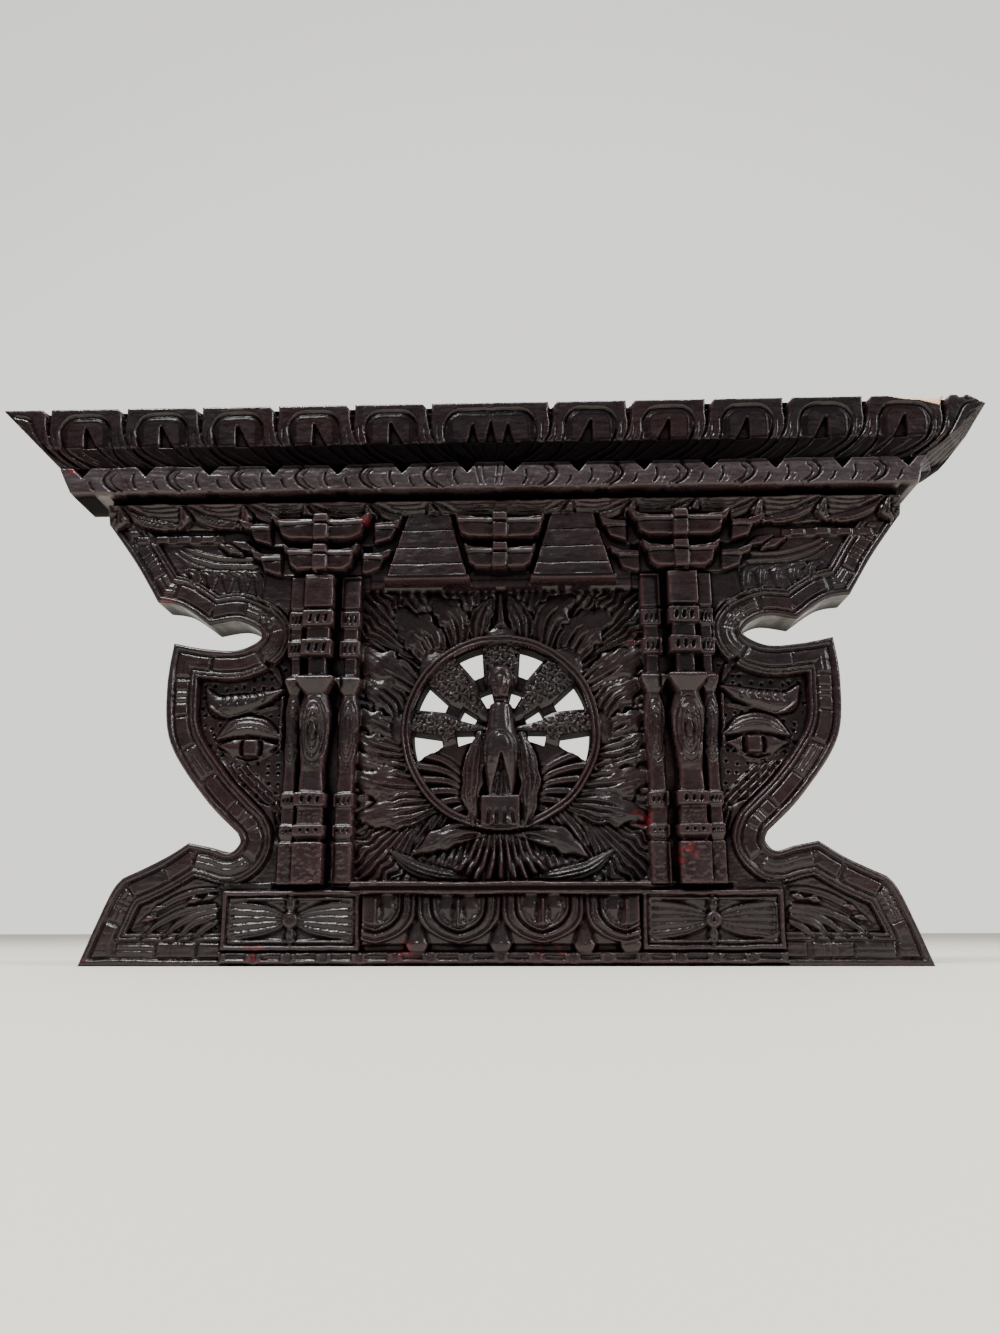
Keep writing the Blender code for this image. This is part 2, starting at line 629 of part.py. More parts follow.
def post(added, x, width, front, back, chamfered):
    """One carved post, as blocks, necks and an urn between its head and the plinth."""
    half, foot = width / 2, LEDGE_TOP - 0.001
    run = POST_HEAD - foot
    # Each block is its lower end as a share of the post's height, its share of the full half
    # width, and how far it falls short of the front as a share of the half width.
    profile = [
        (0.000, 1.00, 0.0, 0.0),
        (0.125, 1.00, 0.0, 0.0),
        (0.132, 0.80, 0.4, 0.0),
        (0.150, 1.05, 0.0, 0.0),
        (0.178, 1.05, 0.0, 0.0),
        (0.184, 0.86, 0.3, 0.0),
        (0.235, 0.86, 0.3, 0.0),
        (0.240, 1.03, 0.0, 0.0),
        (0.278, 1.03, 0.0, 0.0),
        (0.284, 0.80, 0.4, 0.0),
        (0.345, 0.76, 0.5, 0.1),
        (0.455, 0.96, 0.1, 0.5),
        (0.540, 1.08, -0.1, 0.55),
        (0.598, 0.80, 0.3, 0.3),
        (0.640, 1.28, -0.2, 0.0),
        (0.652, 1.28, -0.2, 0.0),
        (0.668, 0.62, 0.6, 0.0),
        (0.722, 0.62, 0.6, 0.0),
        (0.728, 1.04, 0.0, 0.0),
        (0.776, 1.04, 0.0, 0.0),
        (0.782, 0.78, 0.4, 0.0),
        (0.820, 0.78, 0.4, 0.0),
        (0.826, 1.04, 0.0, 0.0),
        (0.874, 1.04, 0.0, 0.0),
        (0.882, 0.84, 0.4, 0.0),
        (0.890, 1.00, 0.0, 0.0),
        (1.000, 1.00, 0.0, 0.0),
    ]
    levels = []
    for share, size, short, round_off in profile:
        levels.append((foot + run * share, half * size, front - short * half, 0.0004 + round_off * half))
    if chamfered:
        added.turned(x, levels, back)
    else:
        added.stack(x, [level[:3] for level in levels], back)


def posts(added):
    for side in (-1, 1):
        x = side * CLUSTER_SPACING
        outer = x + side * (POST_WIDTH + OUTER_POST_WIDTH) / 2
        back = WINDOW_FLOOR - OVERLAP
        post(added, x, POST_WIDTH, POST_DEPTH, back, True)
        post(added, outer, OUTER_POST_WIDTH, SIDE_POST_DEPTH, back, False)
        post(added, side * INNER_POST_HALF, INNER_POST_WIDTH, SIDE_POST_DEPTH, back, False)


def window(added, sunk, pierced):
    """The sunk square, its leaves, the ring and the pierced fan."""
    sunk.block(0.0, WINDOW_WIDTH, WINDOW_SILL, WINDOW_SILL + WINDOW_HEIGHT, WINDOW_FLOOR, CORNICE_DEPTH)
    reach = WINDOW_WIDTH / 2 - 0.001
    floor = WINDOW_FLOOR
    for i in range(RING_LEAVES):
        angle = 2 * pi * (i + 0.5) / RING_LEAVES
        dx, dz = cos(angle), sin(angle)
        start = ROUNDEL_RADIUS - 0.001
        low = ROUNDEL_CENTRE - WINDOW_SILL - 0.001
        high = WINDOW_SILL + WINDOW_HEIGHT - ROUNDEL_CENTRE - 0.001
        edge_z = (high if dz > 0 else low) / max(abs(dz), 1e-6)
        end = min(reach / max(abs(dx), 1e-6), edge_z)
        spine = [(dx * r, ROUNDEL_CENTRE + dz * r) for r in (start, start + (end - start) * 0.55, end)]
        widths = [0.012, 0.0185, 0.002]
        ridge = [floor + LEAF_HEIGHT * s for s in (1.0, 0.9, 0.35)]
        added.blade(spine, widths, floor - OVERLAP, floor + LEAF_HEIGHT * 0.45, ridge)
    ring_turns = 40
    rings = []
    for i in range(ring_turns):
        angle = 2 * pi * i / ring_turns
        ring = []
        for radius, depth in (
            (ROUNDEL_RADIUS - RING_WIDTH, floor - OVERLAP),
            (ROUNDEL_RADIUS, floor - OVERLAP),
            (ROUNDEL_RADIUS, floor + RING_HEIGHT),
            (ROUNDEL_RADIUS - RING_WIDTH, floor + RING_HEIGHT),
        ):
            ring.append(at(cos(angle) * radius, depth, ROUNDEL_CENTRE + sin(angle) * radius))
        rings.append(ring)
    added.loft(rings, closed=True)
    fan(added, pierced)


def polar(radius, degrees):
    """A point on the roundel, with its angle counted from straight up."""
    return (radius * sin(radians(degrees)), ROUNDEL_CENTRE + radius * cos(radians(degrees)))


def sector(inner, outer, centre, spread_inner, spread_outer):
    """The outline of a pierced opening between two feathers."""
    line = [polar(inner, centre - spread_inner), polar(inner, centre + spread_inner)]
    line += [polar(outer, centre + spread_outer), polar(outer, centre), polar(outer, centre - spread_outer)]
    return line


def fan(added, pierced):
    inside = ROUNDEL_RADIUS - RING_WIDTH
    floor = WINDOW_FLOOR
    first = -(FEATHERS - 1) / 2 * FEATHER_STEP
    for i in range(FEATHERS):
        angle = first + i * FEATHER_STEP
        spine = [polar(inside * r, angle) for r in (0.18, 0.45, 0.72, 0.99)]
        widths = [0.004, 0.0075, 0.0165, 0.0150]
        ridge = [floor + FAN_HEIGHT * s for s in (0.9, 1.2, 1.5, 1.1)]
        added.blade(spine, widths, floor - OVERLAP, floor + FAN_HEIGHT * 0.5, ridge)
    for i in range(FEATHERS + 1):
        angle = first + (i - 0.5) * FEATHER_STEP
        angle = max(-100.0, min(100.0, angle))
        outer = sector(inside * 0.66, inside * 0.99, angle, 5.0, 9.5)
        inner = sector(inside * 0.30, inside * 0.50, angle, 9.0, 9.0)
        for outline in (outer, inner):
            pierced.prism(outline, -0.001, CORNICE_DEPTH)
    lines = 4
    for side in (-1, 1):
        for i in range(lines):
            angle = 118.0 + i * 16.0
            spine = [polar(inside * r, side * (angle - 14 * (1 - r))) for r in (0.35, 0.7, 1.03)]
            ridge = [floor + FAN_HEIGHT * 1.1] * 3
            added.blade(spine, [0.003, 0.005, 0.006], floor - OVERLAP, floor + FAN_HEIGHT * 0.4, ridge)


def bird(added):
    """A standing bird seen from the front, with folded wings, carved in the round."""
    foot, tall, floor = BIRD_FOOT, BIRD_HEIGHT, WINDOW_FLOOR
    body = [
        (0.12, 0.0040, 0.45),
        (0.30, 0.0062, 0.70),
        (0.45, 0.0082, 0.95),
        (0.54, 0.0074, 1.00),
        (0.62, 0.0050, 0.90),
        (0.76, 0.0040, 0.80),
        (0.80, 0.0048, 0.84),
        (0.90, 0.0050, 0.92),
        (0.98, 0.0036, 0.80),
        (1.00, 0.0016, 0.60),
    ]
    levels = []
    for share, half, rise in body:
        levels.append((foot + tall * share, half, floor + BIRD_DEPTH * rise, half * 0.45))
    added.turned(0.0, levels, floor - OVERLAP)
    for side in (-1, 1):
        spine = [(side * x, foot + tall * s) for x, s in ((0.0100, 0.06), (0.0108, 0.28), (0.0085, 0.50))]
        ridge = [floor + BIRD_DEPTH * s for s in (0.45, 0.66, 0.70)]
        added.blade(spine, [0.0030, 0.0066, 0.0050], floor - OVERLAP, floor + BIRD_DEPTH * 0.4, ridge)
    added.block(0.0, 0.0170, foot, foot + tall * 0.19, floor - OVERLAP, floor + BIRD_DEPTH * 0.62)


def plinth(added):
    """The ledge between the posts, the hanging lotus petals, two side panels and the foot strip."""
    ledge_foot = LEDGE_TOP - LEDGE_HEIGHT
    ledge_width = 2 * INNER_POST_HALF - INNER_POST_WIDTH + OVERLAP / 2
    added.block(0.0, ledge_width, ledge_foot, LEDGE_TOP, PLANK_DEPTH - OVERLAP, LEDGE_DEPTH)
    levels = [
        (LOTUS_FOOT, LOTUS_WIDTH / 2, PLANK_DEPTH + 0.002),
        (LOTUS_FOOT + 0.010, LOTUS_WIDTH / 2, LOTUS_DEPTH - 0.001),
        (ledge_foot + 0.001, LOTUS_WIDTH / 2, LOTUS_DEPTH),
    ]
    added.stack(0.0, levels, PLANK_DEPTH - OVERLAP)
    for i in range(LOTUS_PETALS):
        lotus_petal(added, (i - (LOTUS_PETALS - 1) / 2) * LOTUS_PITCH, ledge_foot)
    for side in (-1, 1):
        side_panel(added, side * (LOTUS_WIDTH / 2 + SIDE_PANEL_WIDTH / 2))
    strip_head = SIDE_PANEL_FOOT - 0.0006
    added.block(0.0, 2 * PANEL_ENDS, 0.0008, strip_head, PLANK_DEPTH - OVERLAP, FOOT_STRIP_DEPTH)
    step = 2 * PANEL_ENDS / DENTILS
    for i in range(DENTILS):
        x = (i - (DENTILS - 1) / 2) * step
        added.block(x, step * 0.82, 0.0016, strip_head - 0.0006, PLANK_DEPTH, FOOT_STRIP_DEPTH + 0.0008)


def lotus_petal(added, x, head):
    """A petal that hangs from the ledge. The outermost ones are cut off by the course's ends."""
    half, end = LOTUS_PITCH / 2, LOTUS_WIDTH / 2 - EDGE_SETBACK
    tall = head - LOTUS_FOOT
    outline = [(-0.92, 0.0), (-0.84, 0.45), (-0.44, 0.78), (0.0, 0.97)]
    outline += [(-s, drop) for s, drop in outline[2::-1]]
    line = [(max(-end, min(end, x + s * half)), head - tall * drop) for s, drop in outline]
    added.pillow(line, PLANK_DEPTH - OVERLAP, LOTUS_DEPTH - 0.0004, LOTUS_DEPTH + 0.0012, 0.30)


def side_panel(added, x):
    """A framed panel with a flower of four petals and a boss, and ribs to its ends."""
    width, foot, head = SIDE_PANEL_WIDTH - 2 * SIDE_PANEL_GAP, SIDE_PANEL_FOOT, SIDE_PANEL_HEAD
    back, frame = PLANK_DEPTH - OVERLAP, SIDE_FRAME_WIDTH
    mid = (foot + head) / 2
    rings = []
    for side_x, side_z in ((-1, -1), (1, -1), (1, 1), (-1, 1)):
        ring = []
        for sunk, depth in ((0.0, back), (0.0, SIDE_PANEL_DEPTH), (frame, SIDE_PANEL_DEPTH), (frame, back)):
            half_x, half_z = width / 2 - sunk, (head - foot) / 2 - sunk
            ring.append(at(x + side_x * half_x, depth, mid + side_z * half_z))
        rings.append(ring)
    added.loft(rings, closed=True)
    high = SIDE_PANEL_DEPTH - 0.0003
    for dx, dz in ((1, 0), (-1, 0), (0, 1), (0, -1)):
        long = SIDE_LEAF_LENGTH if dx else (head - foot) / 2 - frame - EDGE_SETBACK
        for tilt in (-0.30, 0.30) if dx else (0.0,):
            spine = [(x + dx * r * long, mid + dz * r * long + tilt * r * long) for r in (0.12, 0.6, 1.0)]
            added.blade(spine, [0.0022, 0.0044, 0.0010], back, PLANK_DEPTH + 0.0012, [high] * 3)
    turns = [a * pi / 4 for a in range(8)]
    boss = [(x + BOSS_RADIUS * cos(turn), mid + BOSS_RADIUS * sin(turn)) for turn in turns]
    added.pillow(boss, back, SIDE_PANEL_DEPTH, SIDE_PANEL_DEPTH + 0.0008, 0.4)


def wing_borders(added, fields):
    """Outer and inner fillets with a row of beads between them, and the sunk fields inside."""
    edge = [*wing_edge(), (PANEL_ENDS, 0.0)]
    for flip in (False, True):
        turn = mirrored if flip else list
        back = PLANK_DEPTH - OVERLAP
        line = offset(edge, (INNER_RIM_SETBACK + FIELD_SETBACK) / 2)
        field = [*line, (CLUSTER_SPACING, line[-1][1]), (CLUSTER_SPACING, line[0][1])]
        fields.prism(turn(field), FIELD_DEPTH, CORNICE_DEPTH)
        outer = offset(edge, EDGE_SETBACK), offset(edge, RIM_WIDTH)
        added.band(turn(outer[0]), turn(outer[1]), back, RIM_DEPTH)
        inner = offset(edge, INNER_RIM_SETBACK), offset(edge, FIELD_SETBACK)
        added.band(turn(inner[0]), turn(inner[1]), back, RIM_DEPTH)
        middle = offset(edge, BEAD_SETBACK + BEAD_WIDTH / 2)
        lengths = length_along(middle)
        beads = int(lengths[-1] / BEAD_PITCH)
        for i in range(beads):
            outline = bead(middle, lengths, (i + 0.5) * lengths[-1] / beads)
            added.prism(turn(outline), back, RIM_DEPTH - 2 * EDGE_SETBACK)


def bead(line, lengths, centre):
    """The outline of a long bead that bends with the line it lies on."""
    left, right = [], []
    for share in (-0.5, 0.0, 0.5):
        spot, along = place_along(line, lengths, centre + share * BEAD_LENGTH)
        across = Vector((-along.y, along.x)) * (BEAD_WIDTH / 2)
        left.append(tuple(spot + across))
        right.append(tuple(spot - across))
    return left + right[::-1]


def main():
    clear_scene()
    panel = plank()
    fields, carving, cuts = Shapes("sunk_fields"), Shapes("carving"), Shapes("cuts")
    window_carving, pierced = Shapes("window_carving"), Shapes("pierced_openings")
    cornice(carving, cuts)
    for x, with_rear in ((-CLUSTER_SPACING, True), (0.0, False), (CLUSTER_SPACING, True)):
        bracket_cluster(carving, x, with_rear)
    for side in (-1, 1):
        slatted_panel(carving, side * SLAT_CENTRE)
    plinth(carving)
    wing_borders(carving, fields)
    wing_motifs(carving)
    window(window_carving, cuts, pierced)
    posts(window_carving)
    # The bird goes on last, so that no opening cuts into it.
    bird_shapes = Shapes("bird")
    bird(bird_shapes)
    steps = [("DIFFERENCE", fields), ("UNION", carving), ("DIFFERENCE", cuts), ("UNION", window_carving)]
    steps += [("DIFFERENCE", pierced), ("UNION", bird_shapes)]
    for operation, shapes in steps:
        modifier = panel.modifiers.new(shapes.group.name, "BOOLEAN")
        modifier.operation = operation
        # The exact solver leaves open seams where this many carved forms overlap.
        modifier.solver = "MANIFOLD"
        modifier.operand_type = "COLLECTION"
        modifier.collection = shapes.group


main()
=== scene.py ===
"""Looks of the carved wall panel: a fine relief that stands for the faceted solid.

The panel's front is one grid of heights. x runs to the right from the wings' middle, z up from the
underside, and a height is how far the wood stands in front of the flat back, all in millimetres.
Each carved form changes the heights on its own patch of the grid. The grid is then cut into six
closed meshes along grooves and steps, because one mesh would hold too many triangles."""

from functools import partial
from math import atan2, cos, degrees, hypot, pi, radians, sin

import bpy
import numpy as np
from mathutils import Matrix, Vector, geometry


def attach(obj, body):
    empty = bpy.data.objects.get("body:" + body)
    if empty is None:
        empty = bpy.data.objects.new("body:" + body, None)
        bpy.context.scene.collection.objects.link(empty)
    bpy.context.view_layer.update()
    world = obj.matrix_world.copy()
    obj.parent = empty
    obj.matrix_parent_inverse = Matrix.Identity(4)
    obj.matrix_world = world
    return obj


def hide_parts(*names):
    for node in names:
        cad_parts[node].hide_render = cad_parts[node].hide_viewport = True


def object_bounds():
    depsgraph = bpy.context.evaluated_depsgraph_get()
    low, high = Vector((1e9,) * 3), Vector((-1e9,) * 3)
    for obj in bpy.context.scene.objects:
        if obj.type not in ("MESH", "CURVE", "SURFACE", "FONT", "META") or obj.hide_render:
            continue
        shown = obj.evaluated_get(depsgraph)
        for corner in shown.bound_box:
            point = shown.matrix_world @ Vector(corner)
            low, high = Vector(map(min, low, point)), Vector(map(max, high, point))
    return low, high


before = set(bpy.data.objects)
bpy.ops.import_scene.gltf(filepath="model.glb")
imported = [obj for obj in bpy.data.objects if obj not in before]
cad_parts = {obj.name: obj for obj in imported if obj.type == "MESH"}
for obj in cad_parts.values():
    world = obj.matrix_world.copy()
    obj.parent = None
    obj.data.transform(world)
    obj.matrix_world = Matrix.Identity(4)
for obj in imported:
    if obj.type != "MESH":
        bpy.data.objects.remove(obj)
CAD_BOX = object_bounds()

# The frame's own size gives the unit and the cornice's two ends
PANEL_HEIGHT = 249.0
MM = (CAD_BOX[1].z - CAD_BOX[0].z) / PANEL_HEIGHT
UNDERSIDE = CAD_BOX[0].z
CORNICE_LEFT = CAD_BOX[0].x / MM
CORNICE_RIGHT = CAD_BOX[1].x / MM
MOST_HEIGHT = -CAD_BOX[0].y / MM - 0.02
PETAL_MIDDLE = -4.2  # the cornice's carving is centred a little to the left

# Grid
STEP = 0.45  # spacing of the grid
EDGE = 0.55  # width over which a cut edge falls
RIM_STEPS = 3  # how many steps in from the silhouette its rounding reaches
NOISE_CELLS = 128

# Heights of the plank's flats
PLANK = 18.0
FIELD = 15.2
SHALLOW = 17.0  # the wings' upper and lower fields

# Cornice
PETAL_FOOT = 220.0
PETAL_BREAK = 230.5
BAND_FOOT = 207.5
TIER_TOP = 203.5
TIER_FOOT = 192.0
TIER_HALF = 180.0
TIER_FACE = ((TIER_FOOT, 18.6), (TIER_TOP, 23.4))
TIER_BLADES, TIER_PITCH = 6, 28.5
LEFT_RAKE = 29.0
# The planed right end: in from its tip and below the top edge
RIGHT_END = ((8.0, 0.0), (0.0, 4.0), (5.5, 14.6), (12.5, 23.5), (20.5, 29.0), (26.0, 32.0), (33.0, 41.5))
# Its chamfer: below the top edge, front and outer edge in from the tip, and how far it falls back
RIGHT_CHAMFER = (
    (4.0, 1.0, 0.0, 0.5), (5.5, 3.0, 0.6, 1.4), (16.1, 13.2, 6.6, 10.0), (25.5, 26.5, 15.2, 16.0),
    (33.0, 31.5, 27.0, 13.0), (41.5, 34.0, 32.6, 3.0),
)
CENTRE_PETAL = 56.0
PETAL_PITCH = 35.6
PLATE_HALF, CENTRE_PLATE_HALF = 9.2, 18.0  # a petal's flat middle
PLATE_HEAD, PLATE_CORNER = 243.6, 4.6
RING_WIDTH, RING_HEAD, RING_CORNER = 2.2, 245.4, 6.5  # the sunk ring round it
RING_SHADE = 0.45  # how strongly painted shade darkens and dulls that ring
WEDGE_DEPTH = 2.9
PETALS_PER_SIDE = 5
BAND_PITCH = 29.5
BAND_CENTRE = 21.0
BAND_PETALS = 6
NOTCH_HALF, NOTCH_TALL = 4.6, 4.9
NOTCH_FLOOR, NOTCH_SLOPE = 21.4, 0.45

# Brackets
CLUSTER = 80.5
BRACKET_HEAD = 196.5
BOAT_TALL = 12.5
BOAT_GAP = 1.5
BOAT_DIP = 2.7
# Width of the upper row's boat, how much narrower the lower one is, and the upper one's front
FRONT_BOAT, REAR_BOAT = (45.5, 10.5, 28.2), (78.0, 12.0, 24.0)
ROW_STEP = 1.2  # how far the lower row stands back
BRACKET_BED = 19.0
SLAT_CENTRE = 32.5
SLAT_FOOT = 164.0
SLATS = 4
SLAT_FOOT_HALF, SLAT_HEAD_HALF = 19.0, 9.5
SLAT_FOOT_FRONT, SLAT_HEAD_FRONT = 26.6, 20.6
SLAT_STEP = 1.7

# Posts: a width and a front height each
POST_FOOT = 32.6
POST_HEAD = 168.0
MAIN_POST = (13.2, 25.0)
# Parts of a post, from and to, as shares of its height
POST_BASE, POST_DOTTED, POST_URN = (0.0, 0.125), (0.184, 0.235), (0.36, 0.60)
POST_FLUTED = ((0.728, 0.776), (0.826, 0.874), (0.150, 0.178), (0.240, 0.278))
URN_OVALS = ((0.86, 1.1, 0.9), (0.58, 1.0, 0.8), (0.30, 0.9, 0.8))  # size, and the cut's width and depth
INNER_POST = (8.8, 21.2)
OUTER_POST = (6.6, 21.2)

# Window
WINDOW_HALF = 63.0
WINDOW_SILL = 34.0
WINDOW_HEAD = 163.0
FLOOR = 10.0
HUB_Z = 98.5
RING_OUTER = 43.5
RING_INNER = 39.7
RING_PROFILE = (
    (RING_INNER - 0.4, FLOOR), (RING_INNER + 0.3, 15.2), (40.9, 15.6), (41.4, 14.2), (41.9, 14.2),
    (42.4, 15.9), (43.2, 15.6), (43.8, FLOOR),
)
OPENING_REACH = 15.0  # more than any opening's length
ON_LINE = 0.25  # how near a point lies that counts as on an opening's edge
FEATHERS = 5
FEATHER_STEP = 44.0
LOW_RIBS, LOW_RIB_START, LOW_RIB_STEP = 7, 103, 9.5  # the ribs under the fan, in degrees from the top
BIRD_FOOT = 57.0
BIRD_TALL = 70.0
BIRD_HEIGHT = 10.5

# Plinth
LEDGE_FOOT = 28.5
LEDGE_TOP = 33.5
LOTUS_HALF = 57.5
LOTUS_FOOT = 8.5
LOTUS_PITCH = 34.2
LOTUS_BED = ((LOTUS_FOOT, 20.0), (19.0, 22.4), (LEDGE_FOOT, 19.8))
LOTUS_FACE = ((9.0, 22.8), (17.0, 24.3), (28.0, 23.2))
SIDE_PANEL = (57.9, 115.6, 6.2, 30.2)
# The frames in a side panel: how much narrower and lower than the panel, height, and rounding
PANEL_FRAMES = ((0.0, 0.0, 21.4, 0.6), (4.0, 4.0, 19.4, 0.0), (5.6, 5.6, 20.9, 0.4), (8.6, 8.2, 19.2, 0.0))
PANEL_ENDS = 116.0
SILL_HEIGHT, STRIP_HEIGHT = 26.0, 20.6
DENTILS = 16

# Wings
EYE = (110.0, 92.5)
UPPER_FIELD, LOWER_FIELD = 150.0, 51.0  # where the shallower fields begin, going up and going down
BEAD_PITCH = 17.5
BEAD_LENGTH = 16.2
BEAD_MIDDLE, BEAD_HALF, BEAD_HEIGHT = 6.4, 2.9, 19.7
BORDER_WIDTH = 13.6
# The border's profile: distance in from the outline, and height
BORDER = (
    (0.0, 19.3), (0.7, 20.0), (2.1, 20.0), (2.9, 18.5), (9.8, 18.4), (10.5, 19.8), (11.2, 20.0),
    (11.6, 18.6), (11.9, 18.6), (12.3, 19.9), (12.9, 19.6), (BORDER_WIDTH, 15.5), (15.0, FIELD),
)

# Seams between the six meshes
SEAM_CORNICE = 205.4
SEAM_WINDOW = 163.4
SEAM_POSTS = 169.3
SEAM_TIER = 191.6
SEAM_PLINTH = 33.9
SEAM_SIDE = 61.7
SEAM_BRACKETS = 121.0

WIDE_BLUR, NARROW_BLUR = 9, 3  # in steps of the grid
LEAF_HEIGHT = 15.5
BACK_EDGE = 0.6  # how far in front of the back the sides' dull finish and painted shade end
SAWN_AND_SHADED = 0.6  # how dull and dark the sides are, from 0 to 1: a duller sawn finish, and painted shade
SHEEN, COAT = 0.42, 0.12  # the lacquer's own reflection, and how much of it lies as a clear coat

# Name, place and size in metres, and power in watts
LAMPS = (
    ("key", (-0.45, -0.55, 1.05), (0.30, 0.20), 16.0),
    ("side", (1.00, -0.45, 0.45), (0.25, 0.45), 7.0),
    ("top", (0.10, -0.20, 1.20), (0.9, 0.2), 14.0),
)
FLOOR_REACH, FLOOR_FRONT = 6.0, -0.46  # metres; the pale top ends just behind the camera

# The photograph's camera, as fitted to the panel's corners
CAMERA_SPOT = (13.1, 444.0, 13.7)  # right of the middle, in front of the back, above the underside
CAMERA_PITCH, CAMERA_YAW, CAMERA_ROLL = -14.80, 1.73, -0.53
CAMERA_FOCUS = 1.003  # focal length as a share of the image's width


def curve_through(points, steps=6):
    """A smooth line through (x, z) points: Catmull-Rom spans with a number of steps each."""
    points = [np.array(point, float) for point in points]
    ends = [points[0], *points, points[-1]]
    line = []
    for i in range(len(points) - 1):
        p0, p1, p2, p3 = ends[i : i + 4]
        for k in range(steps):
            t = k / steps
            bend = (2 * p0 - 5 * p1 + 4 * p2 - p3) * t * t + (3 * p1 - p0 - 3 * p2 + p3) * t**3
            line.append((2 * p1 + (p2 - p0) * t + bend) / 2)
    return [tuple(point) for point in [*line, points[-1]]]


def wing_edge():
    """The right wing's outline, from under the cornice down to the foot."""
    stretches = (
        (((180.0, 195.0), (166.0, 176.0), (154.5, 157.5)), 8),
        (((154.5, 157.5), (143.5, 155.3), (130.3, 146.3)), 6),
        (((130.3, 146.3), (116.2, 147.9), (106.2, 141.0), (116.2, 134.7), (131.4, 135.3), (145.5, 138.0)), 8),
        (((145.5, 138.0), (147.0, 118.0), (143.5, 93.0), (126.8, 69.0), (111.4, 54.0)), 8),
        (((111.4, 54.0), (110.2, 50.0), (114.2, 46.0), (122.0, 48.0), (132.0, 50.0)), 6),
        (((132.0, 50.0), (143.0, 43.0), (158.8, 35.5)), 5),
        (((158.8, 35.5), (164.0, 28.0), (174.5, 0.0)), 5),
    )
    line = []
    for points, steps in stretches:
        line += curve_through(points, steps)[:-1]
    return [*line, (174.5, 0.0)]


def panel_outline():
    """The whole silhouette. The cornice's right end is cut back more steeply than its left end."""
    edge = [(TIER_HALF, BAND_FOOT), (TIER_HALF, 195.2), *wing_edge()]
    right_end = [(CORNICE_RIGHT - inward, PANEL_HEIGHT - below) for inward, below in RIGHT_END]
    left_end = [(CORNICE_LEFT + LEFT_RAKE + 6.0, BAND_FOOT), (CORNICE_LEFT + LEFT_RAKE, PETAL_FOOT),
                (CORNICE_LEFT, PANEL_HEIGHT)]
    return [*right_end, *edge, *[(-x, z) for x, z in edge[::-1]], *left_end]


def polar(radius, angle):
    """A point round the roundel's hub, with its angle in degrees from straight up."""
    return (radius * sin(radians(angle)), HUB_Z + radius * cos(radians(angle)))


def fan_openings():
    """The pierced openings between the feathers, an outer and an inner ring of them."""
    first = -(FEATHERS - 1) / 2 * FEATHER_STEP
    openings = []
    for i in range(FEATHERS + 1):
        angle = max(-100.0, min(100.0, first + (i - 0.5) * FEATHER_STEP))
        for inner, outer, foot, head in ((0.66, 0.985, 5.0, 9.5), (0.30, 0.50, 9.0, 9.0)):
            line = [polar(RING_INNER * inner, angle + foot * s) for s in (-1.0, 0.0, 1.0)]
            line += [polar(RING_INNER * outer, angle + head * s) for s in (1.0, 0.5, 0.0, -0.5, -1.0)]
            openings.append(line)
    return openings


def near_line(x, z, line):
    """Distance to a line of points, the length along it, the side (1 is the left) and its length."""
    best = np.full(x.shape, np.inf)
    along = np.zeros(x.shape)
    side = np.zeros(x.shape)
    start = 0.0
    for (ax, az), (bx, bz) in zip(line, line[1:]):
        dx, dz = bx - ax, bz - az
        span = hypot(dx, dz)
        if span < 1e-9:
            continue
        t = unit(((x - ax) * dx + (z - az) * dz) / (span * span))
        px, pz = x - ax - t * dx, z - az - t * dz
        gap = px * px + pz * pz
        closer = gap < best
        best = np.where(closer, gap, best)
        along = np.where(closer, start + t * span, along)
        side = np.where(closer, dx * pz - dz * px, side)
        start += span
    return np.sqrt(best), along, np.sign(side), start


def enclosed(x, z, sides):
    """Which places lie inside the loops that a set of sides makes: a ray from them meets an odd number."""
    odd = np.zeros(x.shape, bool)
    for (ax, az), (bx, bz) in sides:
        if az != bz:
            odd ^= ((az > z) != (bz > z)) & (x < ax + (z - az) * (bx - ax) / (bz - az))
    return odd


def inside(x, z, outline):
    """How far a place lies inside a closed outline; outside it the distance is negative."""
    gap = near_line(x, z, [*outline, outline[0]])[0]
    return np.where(enclosed(x, z, zip(outline, [*outline[1:], outline[0]])), gap, -gap)


def ramp(value, width=EDGE):
    """0 to 1 over a width around nought, without corners."""
    share = unit(value / width + 0.5)
    return share * share * (3.0 - 2.0 * share)


def unit(value):
    """The value, held between 0 and 1."""
    return np.clip(value, 0.0, 1.0)


def profile(value, table):
    """Reads a table of places and heights, with straight stretches between them."""
    return np.interp(value, *np.array(table).T)


def spread_over(share, values):
    """Values spread evenly from 0 to 1, read at a share; a single number counts everywhere."""
    values = np.atleast_1d(values)
    return np.interp(share, np.linspace(0, 1, len(values)), values)


def noise(x, z, size, seed):
    """Smooth bumps between -1 and 1, about as wide as size."""
    table = np.random.default_rng(seed).uniform(-1.0, 1.0, (NOISE_CELLS, NOISE_CELLS))
    u, v = x / size, z / size
    column, row = np.floor(u).astype(int), np.floor(v).astype(int)
    u, v = u - column, v - row
    u, v = u * u * (3 - 2 * u), v * v * (3 - 2 * v)

    def corner(up, right):
        return table[(row + up) % NOISE_CELLS, (column + right) % NOISE_CELLS]

    low = corner(0, 0) * (1 - u) + corner(0, 1) * u
    high = corner(1, 0) * (1 - u) + corner(1, 1) * u
    return low * (1 - v) + high * v


